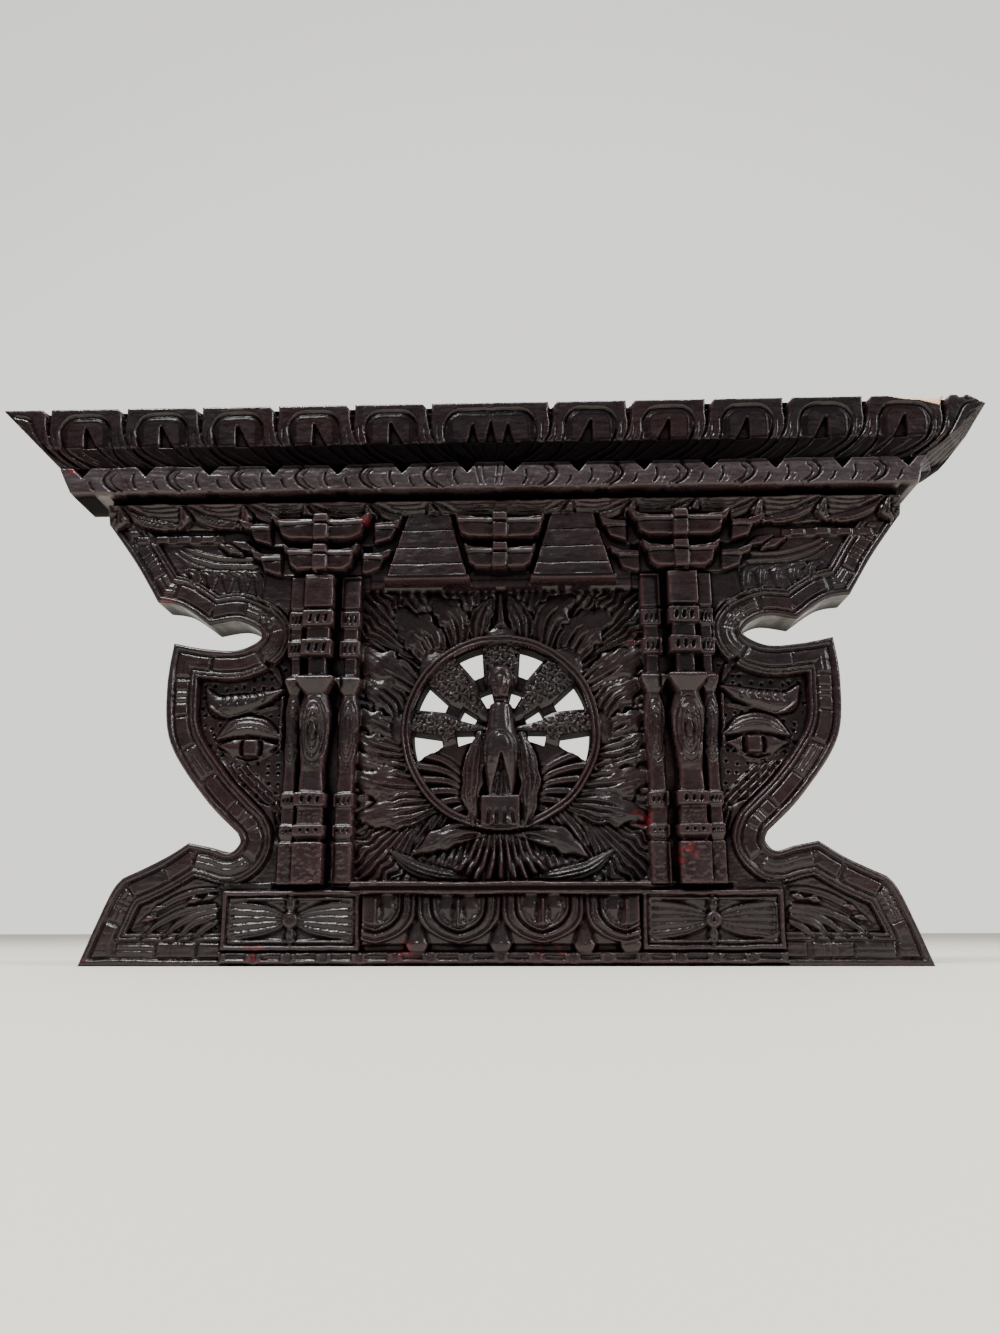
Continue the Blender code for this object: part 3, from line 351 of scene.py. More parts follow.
class Patch:
    """A rectangle of the board: where its points are for the carver, and a view of their heights."""

    def __init__(self, board, low, high, margin):
        columns = slice(
            max(0, int((low[0] - margin - board.left) / board.step_x)),
            max(0, int((high[0] + margin - board.left) / board.step_x) + 2),
        )
        rows = slice(
            max(0, int((low[1] - margin) / board.step_z)),
            max(0, int((high[1] + margin) / board.step_z) + 2),
        )
        self.window = (rows, columns)
        self.x = board.carve_x[self.window]
        self.z = board.carve_z[self.window]
        self.height = board.height[self.window]

    def within(self, outline, width=EDGE):
        """1 inside an outline and 0 outside it."""
        return ramp(inside(self.x, self.z, outline), width)

    def sink_round(self, depth, gap, width):
        """Sinks the ground just outside a form, whose depth is how far inside it a place lies."""
        self.height -= gap * np.exp(-((np.minimum(depth, 0) / width) ** 2)) * (depth < 0)

    def cover(self, share, level):
        """Brings the heights to a level, as far as the share says."""
        self.height += share * (level - self.height)


class Board:
    """The panel's front as a grid of heights, and the tools that carve it."""

    def __init__(self, left, right, outline, openings):
        columns, rows = round((right - left) / STEP), round(PANEL_HEIGHT / STEP)
        self.left, self.step_x, self.step_z = left, (right - left) / columns, PANEL_HEIGHT / rows
        self.x, self.z = np.meshgrid(
            left + self.step_x * np.arange(columns + 1), self.step_z * np.arange(rows + 1)
        )
        mid_x, mid_z = self.x[:-1, :-1] + self.step_x / 2, self.z[:-1, :-1] + self.step_z / 2
        self.cells = inside(mid_x, mid_z, outline) > 0
        for opening in openings:
            patch_x, patch_z = np.array(opening).T
            near = np.maximum(np.abs(mid_x - patch_x.mean()), np.abs(mid_z - patch_z.mean())) < OPENING_REACH
            self.cells[near] &= inside(mid_x[near], mid_z[near], opening) < 0
        self.rim = self.snap([outline, *openings])
        # A hand wanders a little off every drawn line.
        self.carve_x = self.x + 0.30 * noise(self.x, self.z, 13.0, 1) + 0.10 * noise(self.x, self.z, 3.7, 2)
        self.carve_z = self.z + 0.30 * noise(self.x, self.z, 12.0, 3) + 0.10 * noise(self.x, self.z, 3.9, 4)
        self.height = np.full(self.x.shape, PLANK)
        # Marks for the finish: raw wood, thin red stain, dust with painted sheen, and painted shade in the
        # dull places and along the openings.
        self.raw, self.red, self.dust, self.dull, self.pierced = np.zeros((5, *self.x.shape))
        # Painted shade on the points along the openings' edges, which also darkens the openings' sides.
        for opening in openings:
            first_x, first_z = opening[0]
            near = np.maximum(np.abs(self.x - first_x), np.abs(self.z - first_z)) < OPENING_REACH
            ring = near_line(self.x[near], self.z[near], [*opening, opening[0]])[0]
            self.pierced[near] = np.maximum(self.pierced[near], ring < ON_LINE)

    def snap(self, loops):
        """Moves the points on the border of the kept cells onto the drawn lines; returns which they are."""
        padded = np.pad(self.cells, 1).astype(int)
        around = padded[:-1, :-1] + padded[1:, :-1] + padded[:-1, 1:] + padded[1:, 1:]
        border = (around > 0) & (around < 4)
        x, z = self.x[border], self.z[border]
        best = np.full(x.shape, np.inf)
        spot_x, spot_z = x.copy(), z.copy()
        for loop in loops:
            for (ax, az), (bx, bz) in zip(loop, [*loop[1:], loop[0]]):
                dx, dz = bx - ax, bz - az
                t = unit(((x - ax) * dx + (z - az) * dz) / (dx * dx + dz * dz))
                near_x, near_z = ax + t * dx, az + t * dz
                gap = np.hypot(x - near_x, z - near_z)
                closer = gap < best
                best[closer], spot_x[closer], spot_z[closer] = gap[closer], near_x[closer], near_z[closer]
        for loop in loops:
            for before, (cx, cz), after in zip([loop[-1], *loop[:-1]], loop, [*loop[1:], loop[0]]):
                turn = atan2(after[1] - cz, after[0] - cx) - atan2(cz - before[1], cx - before[0])
                if abs((degrees(turn) + 180) % 360 - 180) < 25:
                    continue
                gap = np.hypot(spot_x - cx, spot_z - cz)
                nearest = gap.argmin()
                if gap[nearest] < STEP:
                    spot_x[nearest], spot_z[nearest] = cx, cz
        self.x[border], self.z[border] = spot_x, spot_z
        return border

    def patch(self, points, margin=2.0):
        """The rectangle round some points."""
        xs, zs = [p[0] for p in points], [p[1] for p in points]
        return Patch(self, (min(xs), min(zs)), (max(xs), max(zs)), margin)

    def plate(self, outline, level, edge=EDGE, soft=0.0):
        """A flat or shaped face inside an outline, its edge rounded over by soft."""
        patch = self.patch(outline)
        depth = inside(patch.x, patch.z, outline)
        if callable(level):
            level = level(patch.x, patch.z)
        if soft:
            level = level - soft * (1 - unit(depth / (1.5 * soft))) ** 2
        patch.cover(ramp(depth, edge), level)

    def block(self, x, z, width, tall, level, soft=0.3):
        """A rectangular face round a middle."""
        half_x, half_z = width / 2, tall / 2
        corners = ((-half_x, -half_z), (half_x, -half_z), (half_x, half_z), (-half_x, half_z))
        self.plate([(x + dx, z + dz) for dx, dz in corners], level, soft=soft)

    def stroke(self, line, width, rise, ends=(2.0, 2.0), sharp=False):
        """A rounded rib along a line, or with a negative rise a gouge, thinning out at its ends."""
        if len(line) > 2:
            line = curve_through(line)
        patch = self.patch(line, width / 2 + 1.0)
        far, along, _, total = near_line(patch.x, patch.z, line)
        swell = np.minimum(1.0, np.minimum(along / max(ends[0], 0.01), (total - along) / max(ends[1], 0.01)))
        swell = np.sqrt(unit(swell))
        across = unit(far / np.maximum(width / 2 * swell, 0.08))
        patch.height += rise * swell * ((1 - across) if sharp else (1 - across * across))

    def groove(self, line, width, depth, ends=(2.0, 2.0)):
        """A V-cut along a line, thinning out at its ends."""
        self.stroke(line, width, -depth, ends, sharp=True)

    def path(self, line, width, rise):
        """A rib or gouge of even width along points that already lie close together."""
        patch = self.patch(line, width / 2 + 1.0)
        far = near_line(patch.x, patch.z, line)[0]
        across = unit(far / (width / 2))
        patch.height += rise * (1 - across * across)

    def along_spine(self, spine, widths):
        """A leaf's patch, and its places: length and share along the spine, distance and side."""
        line = curve_through(spine)
        patch = self.patch(line, max(widths) / 2 + 2.5)
        far, along, side, total = near_line(patch.x, patch.z, line)
        return patch, along, along / total, far, side

    def acanthus(self, spine, widths, foot, rises, grooves, reach, seed):
        """A full leaf with V-cuts that run out from its root and fade before its rounded lip."""
        patch, along, share, far, side = self.along_spine(spine, widths)
        half = spread_over(share, widths) / 2
        half *= 1 + 0.13 * ramp(share - 0.45, 0.3) * np.cos(2 * pi * (share * 3.2 + 0.25 * side))
        depth = half - far
        across = np.clip(side * far / np.maximum(half, 0.3), -1, 1)
        patch.sink_round(depth, 1.0, 0.9)
        level = foot + spread_over(share, rises) * (1 - 0.26 * across**2)
        level += 0.22 * noise(along * 0.13, side * far, 1.0, seed)
        rng = np.random.default_rng(seed)
        for i in range(grooves):
            centre = (2 * i + 1) / grooves - 1 + rng.uniform(-0.1, 0.1) / grooves
            length = reach * (1.2 - 0.30 * abs(centre)) * rng.uniform(0.85, 1.15)
            fade = unit((length - share) / 0.28) ** 0.7
            cut = unit(1 - np.abs(across - centre) * half / (0.35 + 0.75 * fade))
            level -= 1.7 * fade * cut
        patch.cover(ramp(depth, 0.6), level)

    def leaf(self, spine, widths, foot, rises, veins=3, vein=0.5, gap=0.8):
        """A leaf along a spine: crowned, with grooves that follow its edge, and a cut round it."""
        patch, _, share, far, _ = self.along_spine(spine, widths)
        half = spread_over(share, widths) / 2
        depth = half - far
        across = unit(far / np.maximum(half, 0.3))
        patch.sink_round(depth, gap, 0.8)
        level = foot + spread_over(share, rises) * (1 - 0.55 * across**2)
        fade = unit(np.minimum(share / 0.08, (1 - share) / 0.15))
        level -= vein * fade * (0.5 + 0.5 * np.cos(2 * pi * across * veins)) ** 2
        patch.cover(ramp(depth, 0.6), level)

    def dots(self, outline, pitch, radius, depth, seed):
        """Punched dots, about a pitch apart."""
        patch = self.patch(outline)
        share = patch.within(outline, 1.0)
        column, row = np.floor(patch.x / pitch).astype(int), np.floor(patch.z / pitch).astype(int)
        rng = np.random.default_rng(seed)
        jitter = rng.uniform(-0.22, 0.22, (2, NOISE_CELLS, NOISE_CELLS))
        where = (row % NOISE_CELLS, column % NOISE_CELLS)
        far = np.hypot(
            patch.x - (column + 0.5 + jitter[0][where]) * pitch,
            patch.z - (row + 0.5 + jitter[1][where]) * pitch,
        )
        patch.height -= share * depth * unit(1 - (far / radius) ** 2)

    def curls(self, outline, pitch, depth, seed):
        """Small spiral cuts, close together, as on a curly feather."""
        patch = self.patch(outline)
        share = patch.within(outline, 1.0)
        column, row = np.floor(patch.x / pitch).astype(int), np.floor(patch.z / pitch).astype(int)
        turn = np.random.default_rng(seed).uniform(0, 2 * pi, (NOISE_CELLS, NOISE_CELLS))
        dx, dz = patch.x - (column + 0.5) * pitch, patch.z - (row + 0.5) * pitch
        angle = np.arctan2(dz, dx) + turn[row % NOISE_CELLS, column % NOISE_CELLS]
        rings = np.sin(2 * pi * np.hypot(dx, dz) / (pitch * 0.42) + angle)
        patch.height += share * depth * rings

    def rough(self, outline, size, depth, seed):
        """Chisel marks without a direction."""
        patch = self.patch(outline)
        share = patch.within(outline, 1.0)
        marks = noise(patch.x, patch.z, size, seed) + 0.6 * noise(patch.x, patch.z, size * 0.5, seed + 1)
        patch.height += share * depth * marks


def between(x_low, x_high, z_low, z_high):
    """A rectangle's corners."""
    return [(x_low, z_low), (x_high, z_low), (x_high, z_high), (x_low, z_high)]


def on_side(side, *points):
    """Points given on the right half, on the side asked for."""
    return [(side * x, z) for x, z in points]


def inwards(x, side, points):
    """Points given by how far they lie from x towards the cornice's middle."""
    return [(x - side * u, z) for u, z in points]


def cut_rows(board, x, side, cuts, ends):
    """Grooves from a table of points, widths and depths, placed inwards from x."""
    for points, width, depth in cuts:
        board.groove(inwards(x, side, points), width, depth, ends)


# The cornice's height by level: undercut, bulging band, and the leaning, broken petal row
CORNICE_FACE = (
    (TIER_TOP, 18.4), (BAND_FOOT - 0.3, 18.4), (BAND_FOOT + 0.3, 27.3), (213.5, 27.9),
    (PETAL_FOOT - 0.4, 28.0), (PETAL_FOOT + 0.3, 21.8), (PETAL_FOOT + 2.0, 23.5),
    (PETAL_BREAK - 0.3, 26.2), (PETAL_BREAK + 0.3, 26.8), (PANEL_HEIGHT, 29.4),
)


def cornice_face(z, sunk=0.0):
    """The cornice's height at a level, or what is carved a little into it."""
    return profile(z, CORNICE_FACE) - sunk


def cornice(board):
    """The petal row over the notched band, with the planed end and the splinter."""
    patch = board.patch(between(CORNICE_LEFT, CORNICE_RIGHT, TIER_TOP, PANEL_HEIGHT), 0.0)
    patch.cover(ramp(patch.z - TIER_TOP, 0.5), cornice_face(patch.z))
    edges = [CENTRE_PETAL / 2 + PETAL_PITCH * i for i in range(PETALS_PER_SIDE + 1)]
    centre_petal(board)
    for side in (-1, 1):
        for inner, outer in zip(edges, edges[1:]):
            petal(board, PETAL_MIDDLE + side * (inner + outer) / 2, side)
        for x in edges:
            petal_joint(board, PETAL_MIDDLE + side * x, side)
        corner_petal(board, PETAL_MIDDLE + side * edges[-1], side)
    band(board)
    right_end(board)
    chipped_edge(board)


def arch(x, half, foot, head, corner):
    """An upright outline with rounded upper corners."""
    line = [(x - half, foot)]
    for i in range(7):
        angle = pi - i * pi / 12
        line.append((x - half + corner + corner * cos(angle), head - corner + corner * sin(angle)))
    return line + [(2 * x - a, b) for a, b in line[::-1]]


def petal_plate(board, x, half):
    """The flat middle of a petal in its sunk ring."""
    foot = PETAL_BREAK + 0.2
    ring = arch(x, half + RING_WIDTH, foot, RING_HEAD, RING_CORNER)
    middle = arch(x, half, foot, PLATE_HEAD, PLATE_CORNER)
    board.plate(ring, lambda px, pz: cornice_face(pz, 0.6))
    board.plate(middle, lambda px, pz: cornice_face(pz, 0.15), edge=0.9)
    # Painted shade in the sunk ring and just inside the plate's edge.
    patch = board.patch(ring)
    in_ring = patch.within(ring) * (1 - ramp(inside(patch.x, patch.z, middle) - 1.1))
    board.dull[patch.window] = np.maximum(board.dull[patch.window], RING_SHADE * in_ring)


# Cuts: points (how far from the petal's middle towards the cornice's, level), width, depth. The
# centre petal's run outwards from its middle, and its neighbours' from the joint between two petals.
PETAL_CUTS = (
    (((21.5, 221.0), (14.6, 227.0), (12.1, 233.0), (11.5, 240.0), (7.4, 245.0), (0.0, 245.7), (-7.4, 245.0),
      (-11.5, 240.5), (-11.6, 235.5), (-8.6, 229.2), (-1.0, 224.4), (6.0, 221.2)), 1.8, 1.6),
    (((-14.3, 239.5), (-14.0, 233.0), (-10.8, 227.0), (-2.8, 222.0)), 1.3, 1.0),
    (((5.4, 231.2), (9.4, 227.0), (17.0, 222.0)), 1.8, 1.4),
    (((-3.0, 229.4), (1.5, 226.2), (7.5, 223.0)), 1.0, 0.7),
)
CENTRE_CUTS = (
    (((5.0, 221.0), (14.5, 224.6), (20.4, 231.0), (20.6, 239.5), (16.0, 244.8), (8.0, 245.8),
      (-0.5, 245.8)), 1.8, 1.6),
    (((9.5, 221.0), (17.5, 224.2), (23.4, 231.5), (23.9, 240.0)), 1.3, 1.0),
    (((13.8, 231.0), (9.6, 226.0), (3.8, 221.4)), 1.8, 1.3),
    (((8.6, 230.6), (6.4, 226.0), (2.2, 221.4)), 1.2, 0.9),
    (((3.6, 230.6), (2.8, 226.0), (0.8, 221.4)), 1.3, 1.0),
)
JOINT_CUTS = (
    (((0.3, 240.0), (1.4, 233.5), (7.2, 227.0), (15.5, 221.6)), 1.9, 1.6),
    (((-2.4, 238.5), (-1.4, 232.0), (4.0, 226.0), (11.5, 221.2)), 1.2, 0.9),
)
CORNER_CUTS = (
    (((-17.0, 246.0), (-9.5, 244.6), (-5.6, 238.0), (-0.5, 230.5), (9.0, 223.5), (14.0, 221.2)), 1.7, 1.4),
    (((-18.0, 243.0), (-11.5, 240.5), (-8.0, 234.0), (-2.0, 227.5), (6.0, 221.8)), 1.2, 0.9),
    (((-15.0, 236.0), (-9.5, 229.5), (-2.0, 223.5)), 1.1, 0.8),
)


def petal(board, x, side):
    """One of the broad petals. Its cuts sweep in towards the cornice's middle at the foot."""
    petal_plate(board, x, PLATE_HALF)
    wedge = ((-1.0, 230.4), (-0.7, 240.4), (0.2, 240.4), (5.6, 230.4))
    dark_wedge(board, inwards(x, side, wedge))
    cut_rows(board, x, side, PETAL_CUTS, (1.5, 2.5))


def dark_wedge(board, outline):
    """A deep V cut into a petal's flat middle, open below."""
    board.plate(outline, lambda px, pz: cornice_face(pz, WEDGE_DEPTH))


def centre_petal(board):
    """The wide petal in the middle, with three wedges."""
    petal_plate(board, PETAL_MIDDLE, CENTRE_PLATE_HALF)
    for dx, tall in ((-8.0, 9.0), (0.3, 10.2), (8.2, 9.0)):
        wedge = ((-2.5, 230.4), (-0.2, 230.6 + tall), (0.2, 230.6 + tall), (2.7, 230.4))
        dark_wedge(board, [(PETAL_MIDDLE + dx + u, z) for u, z in wedge])
    for side in (1, -1):
        cut_rows(board, PETAL_MIDDLE, side, CENTRE_CUTS, (1.5, 2.5))


def petal_joint(board, x, side):
    """The chip in the top edge between two petals, and the cuts that run down from it."""
    top = PANEL_HEIGHT
    chip = ((-3.4, top + 1), (0.9, top + 1), (0.9, top - 3.6), (0.2, top - 3.6))
    board.plate(inwards(x, side, chip), 25.0)
    board.groove([(x, top), (x, top - 12.5)], 3.4, 2.9, ends=(0.1, 6.0))
    cut_rows(board, x, side, JOINT_CUTS, (2.0, 2.5))


def corner_petal(board, x, side):
    """The half petal at an end, which follows the end's rake."""
    cut_rows(board, x, side, CORNER_CUTS, (3.0, 3.0))


def band(board):
    """V notches along the band's top, and below each petal a crescent hollow and slanted cuts."""
    rows = between(CORNICE_LEFT + 30, CORNICE_RIGHT - 30, BAND_FOOT, PETAL_FOOT)
    for side in (-1, 1):
        for i in range(BAND_PETALS + 1):
            x = PETAL_MIDDLE + side * (BAND_CENTRE / 2 + BAND_PITCH * i)
            head = PETAL_FOOT + 0.3
            notch = [(x - NOTCH_HALF, head), (x + NOTCH_HALF, head), (x, PETAL_FOOT - NOTCH_TALL)]
            board.plate(notch, lambda px, pz: NOTCH_FLOOR - NOTCH_SLOPE * (PETAL_FOOT - pz))
            if i:
                band_petal(board, x, side)
    for dx in (-5.8, -3.0, 3.2, 5.8):
        x = PETAL_MIDDLE + dx
        line = [(x + dx * 0.1, PETAL_FOOT - 1.6), (x, 214.0), (x - dx * 0.30, BAND_FOOT + 1.0)]
        board.groove(line, 1.4, 1.2, ends=(1.0, 1.5))
    board.rough(rows, 1.5, 0.08, 31)
    patch = board.patch(rows)
    share = patch.within(rows, 1.0)
    patch.height += 0.12 * noise(patch.x * 0.16, patch.z, 0.8, 33) * share
    # Grey dust over the band, lightened further as painted sheen.
    board.dust[patch.window] = share * (0.75 + 0.35 * noise(patch.x, patch.z, 9.0, 34))
    # Painted shade and a painted dark reflection on the petals' lower slopes, strongest towards the middle.
    patch = board.patch(between(CORNICE_LEFT, CORNICE_RIGHT, PETAL_FOOT, PETAL_BREAK))
    slope = ramp(PETAL_BREAK - patch.z) * ramp(patch.z - PETAL_FOOT + 4.0)
    slope *= np.interp(np.abs(patch.x), (70, 200), (0.8, 0.25))
    board.dull[patch.window] = np.maximum(board.dull[patch.window], slope)


# Cuts of one petal of the band: points (towards the middle from its outer notch, level), width, depth
BAND_CUTS = (
    (((13.6, 219.2), (9.8, 215.2), (11.6, 211.0), (16.6, 208.2)), 2.0, 2.1),
    (((16.0, 217.6), (13.3, 214.4), (15.2, 210.9), (19.6, 208.2)), 1.6, 1.7),
    (((3.2, 214.0), (4.2, 210.8), (6.4, 208.4)), 1.6, 1.5),
    (((24.2, 217.2), (23.6, 212.8), (26.0, 208.6)), 1.7, 1.6),
    (((20.6, 213.6), (21.4, 210.8), (23.2, 208.4)), 1.0, 0.7),
)


def band_petal(board, x, side):
    """From an outer notch inwards: a short cut, a crescent with its hollow, and one more cut."""
    hollow = inwards(x, side, ((14.6, 218.0), (11.6, 214.8), (13.4, 211.0), (17.6, 208.6)))
    board.stroke(hollow, 3.0, -0.6, ends=(1.0, 1.0))
    cut_rows(board, x, side, BAND_CUTS, (0.8, 1.2))


def right_end(board):
    """The cornice's right end is planed off at a slant and scored along its slope."""
    below, front, outer, fall = np.array(RIGHT_CHAMFER).T
    patch = board.patch(between(CORNICE_RIGHT - 40, CORNICE_RIGHT, BAND_FOOT, PANEL_HEIGHT))
    down = PANEL_HEIGHT - patch.z
    front = CORNICE_RIGHT - np.interp(down, below, front)
    outer = CORNICE_RIGHT - np.interp(down, below, outer)
    share = np.clip((patch.x - front) / np.maximum(outer - front, 0.5), 0.0, 1.1)
    level = cornice_face(patch.z) - np.interp(down, below, fall) * share
    scored = ramp(outer - front - 3.0, 5.0)
    level -= 1.0 * scored * (0.5 - 0.5 * np.cos(2 * pi * share * 4.4)) ** 2
    patch.cover(ramp(patch.x - front, 0.5) * ramp(down - 3.6, 0.8), level)


def chipped_edge(board):
    """A splinter is missing from the top edge near the right end, down to the raw wood."""
    top, right = PANEL_HEIGHT, CORNICE_RIGHT
    along = (right - 45.0, right - 37.0, right - 29.0, right - 21.0, right - 18.0)
    lower = (top + 0.4, top - 1.4, top - 2.0, top - 4.4, top + 0.4)
    outline = [*zip(along, lower), (right - 18.0, top + 1), (right - 45.0, top + 1)]

    def torn(px, pz):
        above = pz - np.interp(px, along, lower)
        return 28.7 - 0.62 * above + 0.22 * noise(px * 0.22, pz, 0.9, 41) + 0.14 * noise(px, pz, 1.1, 42)

    board.plate(outline, torn, edge=0.3)
    nick = [(right - 13.0, top + 1), (right - 8.5, top + 1), (right - 9.5, top - 1.0),
            (right - 11.5, top - 1.0)]
    board.plate(nick, 28.2, edge=0.3)
    for shape, strength in ((outline, 1.0), (nick, 0.6)):
        patch = board.patch(shape)
        share = strength * ramp(inside(patch.x, patch.z, shape) + 0.1, 0.5)
        board.raw[patch.window] = np.maximum(board.raw[patch.window], share)


def tier(board):
    """The slanted course under the cornice: long blades that end in curled, ribbed tips."""
    outline = between(-TIER_HALF - 1, TIER_HALF + 1, TIER_FOOT, TIER_TOP)
    board.plate(outline, lambda px, pz: profile(pz, TIER_FACE))
    for side in (-1, 1):
        board.rough(between(side * 174 - 6, side * 174 + 6, TIER_FOOT, TIER_TOP), 1.6, 0.35, 51)
        for i in range(TIER_BLADES):
            tier_blade(board, 5.0 + TIER_PITCH * (i + 0.5), side)


def tier_blade(board, x, side):
    """A long blade that rises outwards, three cuts above it, and its curled tip."""
    def place(*points):
        return [(side * (x + dx), z) for dx, z in points]

    blade = place((-15, 193.8), (-5, 194.4), (5, 197.6), (11, 202.2))
    board.leaf(blade, (1.5, 4.6, 5.0, 4.4, 1.0), 19.2, (1.2, 2.2, 3.4, 4.8), veins=2, vein=0.8)
    for dz in (0.0, 2.0, 3.8):
        line = place((-16 + dz, 198.6 + dz), (-6 + dz, 198.0 + dz), (1 + dz, 199.6 + dz * 0.8))
        board.groove(line, 1.2, 1.0, ends=(3, 3))
    tip = place((14.2, 193.4), (11.5, 196.6), (12.6, 201.0))
    board.leaf(tip, (3.0, 6.5, 3.0), 19.4, (2.4, 4.4, 4.8), vein=0.0)
    for dx in (9.6, 11.8, 14.0):
        board.groove(place((dx - 0.6, 194.6), (dx, 197.4), (dx + 1.0, 200.0)), 1.0, 0.9, ends=(1, 1))


def boat(board, x, head, width, front):
    """One bracket arm: a hollowed slab with upturned ends over a hull of two lobes."""
    half, foot, ledge = width / 2, head - BOAT_TALL, head - BOAT_TALL * 0.42
    # Left halves of the hull and of the slab: share of the half width, and level
    hull = [(-0.86, ledge + 0.5), (-0.80, foot + 2.5), (-0.62, foot + 0.2)]
    hull += [(-share, z) for share, z in hull[::-1]]

    def hull_face(px, pz):
        down = unit((ledge - pz) / (ledge - foot))
        out = np.abs(px - x) / half
        lobe = unit(1 - ((out - 0.48) / 0.42) ** 2)
        return front - 2.3 - 1.2 * down**2 + 1.3 * np.sqrt(lobe)

    board.plate([(x + s * half, z) for s, z in hull], hull_face, soft=0.7)
    slab = [(-0.4, head - BOAT_DIP - 0.4), (-0.80, head - BOAT_DIP), (-1.0, head), (-0.93, ledge + 1.0),
            (-0.84, ledge)]
    slab += [(-share, z) for share, z in slab[::-1]]

    def slab_face(px, pz):
        up = unit((pz - ledge) / (head - BOAT_DIP - ledge))
        out = unit(np.abs(px - x) / half)
        return front - 1.1 * np.sin(pi * up) * (1 - out**4) + 0.2 * out**3

    board.plate([(x + s * half, z) for s, z in slab], slab_face, soft=0.3)
    board.stroke([(x - 0.84 * half, ledge + 0.5), (x + 0.84 * half, ledge + 0.5)], 0.9, 0.35, ends=(1, 1))
    board.stroke([(x - 0.84 * half, ledge - 0.5), (x + 0.84 * half, ledge - 0.5)], 0.9, -0.9, ends=(1, 1))
    for low, high, proud in ((foot - 0.4, ledge - 0.5, 0.5), (ledge + 0.5, head - 1.1, 1.1)):
        board.block(x, (low + high) / 2, 6.6, high - low, front + proud, soft=0.4)


def brackets(board):
    """Three clusters of two boats each, the outer ones before wider ones, and two louvres."""
    for x, with_rear in ((-CLUSTER, True), (0.0, False), (CLUSTER, True)):
        for row in (0, 1):
            head = BRACKET_HEAD - row * (BOAT_TALL + BOAT_GAP)
            if with_rear:
                wide, shrink, front = REAR_BOAT
                boat(board, x, head - 1.0, wide - row * shrink, front - ROW_STEP * row)
            wide, shrink, front = FRONT_BOAT
            board.block(x, head - BOAT_TALL / 2, wide + 1.5 - row * shrink, BOAT_TALL + 1.0, BRACKET_BED)
            boat(board, x, head, wide - row * shrink, front - ROW_STEP * row)
    for side in (-1, 1):
        slatted_panel(board, side * SLAT_CENTRE)


def slatted_panel(board, x):
    """The sloping louvre between two clusters: each slat stands out over the one above it."""
    head = BRACKET_HEAD + 1.0
    outline = [(x - SLAT_FOOT_HALF, SLAT_FOOT), (x + SLAT_FOOT_HALF, SLAT_FOOT), (x + SLAT_HEAD_HALF, head),
               (x - SLAT_HEAD_HALF, head)]

    def slats(px, pz):
        share = np.clip((pz - SLAT_FOOT) / (head - SLAT_FOOT), 0, 0.999)
        part = (share * SLATS) % 1.0
        slope = SLAT_FOOT_FRONT + (SLAT_HEAD_FRONT - SLAT_FOOT_FRONT) * share
        worn = 0.05 * noise(px * 0.2, pz, 0.9, 61) + 0.09 * noise(px, pz, 3.0, 62)
        return slope - SLAT_STEP + SLAT_STEP * part**0.8 + worn

    board.plate([(px + (2.2 if px > x else -2.2), pz) for px, pz in outline], 18.2)
    board.plate(outline, slats, soft=0.3)
    for i in range(1, SLATS):
        z = SLAT_FOOT + (head - SLAT_FOOT) * i / SLATS
        half = SLAT_FOOT_HALF - (SLAT_FOOT_HALF - SLAT_HEAD_HALF) * i / SLATS - 0.6
        board.stroke([(x - half, z + 0.3), (x + half, z + 0.3)], 1.0, -1.0, ends=(0.5, 0.5))
    board.block(x, SLAT_FOOT + 1.3, 2 * SLAT_FOOT_HALF + 0.6, 2.6, SLAT_FOOT_FRONT + 0.6, soft=0.5)


POST_PROFILE = (
    # Level as a share of the post's height, share of the half width, how far short of the front
    (0.000, 1.00, 0.0, 0.0), (0.125, 1.00, 0.0, 0.0), (0.132, 0.80, 0.4, 0.0), (0.150, 1.05, 0.0, 0.0),
    (0.178, 1.05, 0.0, 0.0), (0.184, 0.86, 0.3, 0.0), (0.235, 0.86, 0.3, 0.0), (0.240, 1.03, 0.0, 0.0),
    (0.278, 1.03, 0.0, 0.0), (0.284, 0.80, 0.4, 0.0), (0.345, 0.76, 0.5, 0.1), (0.455, 0.96, 0.1, 0.5),
    (0.540, 1.08, -0.1, 0.55), (0.598, 0.80, 0.3, 0.3), (0.640, 1.28, -0.2, 0.0), (0.652, 1.28, -0.2, 0.0),
    (0.668, 0.62, 0.6, 0.0), (0.722, 0.62, 0.6, 0.0), (0.728, 1.04, 0.0, 0.0), (0.776, 1.04, 0.0, 0.0),
    (0.782, 0.78, 0.4, 0.0), (0.820, 0.78, 0.4, 0.0), (0.826, 1.04, 0.0, 0.0), (0.874, 1.04, 0.0, 0.0),
    (0.882, 0.84, 0.4, 0.0), (0.890, 1.00, 0.0, 0.0), (1.000, 1.00, 0.0, 0.0),
)


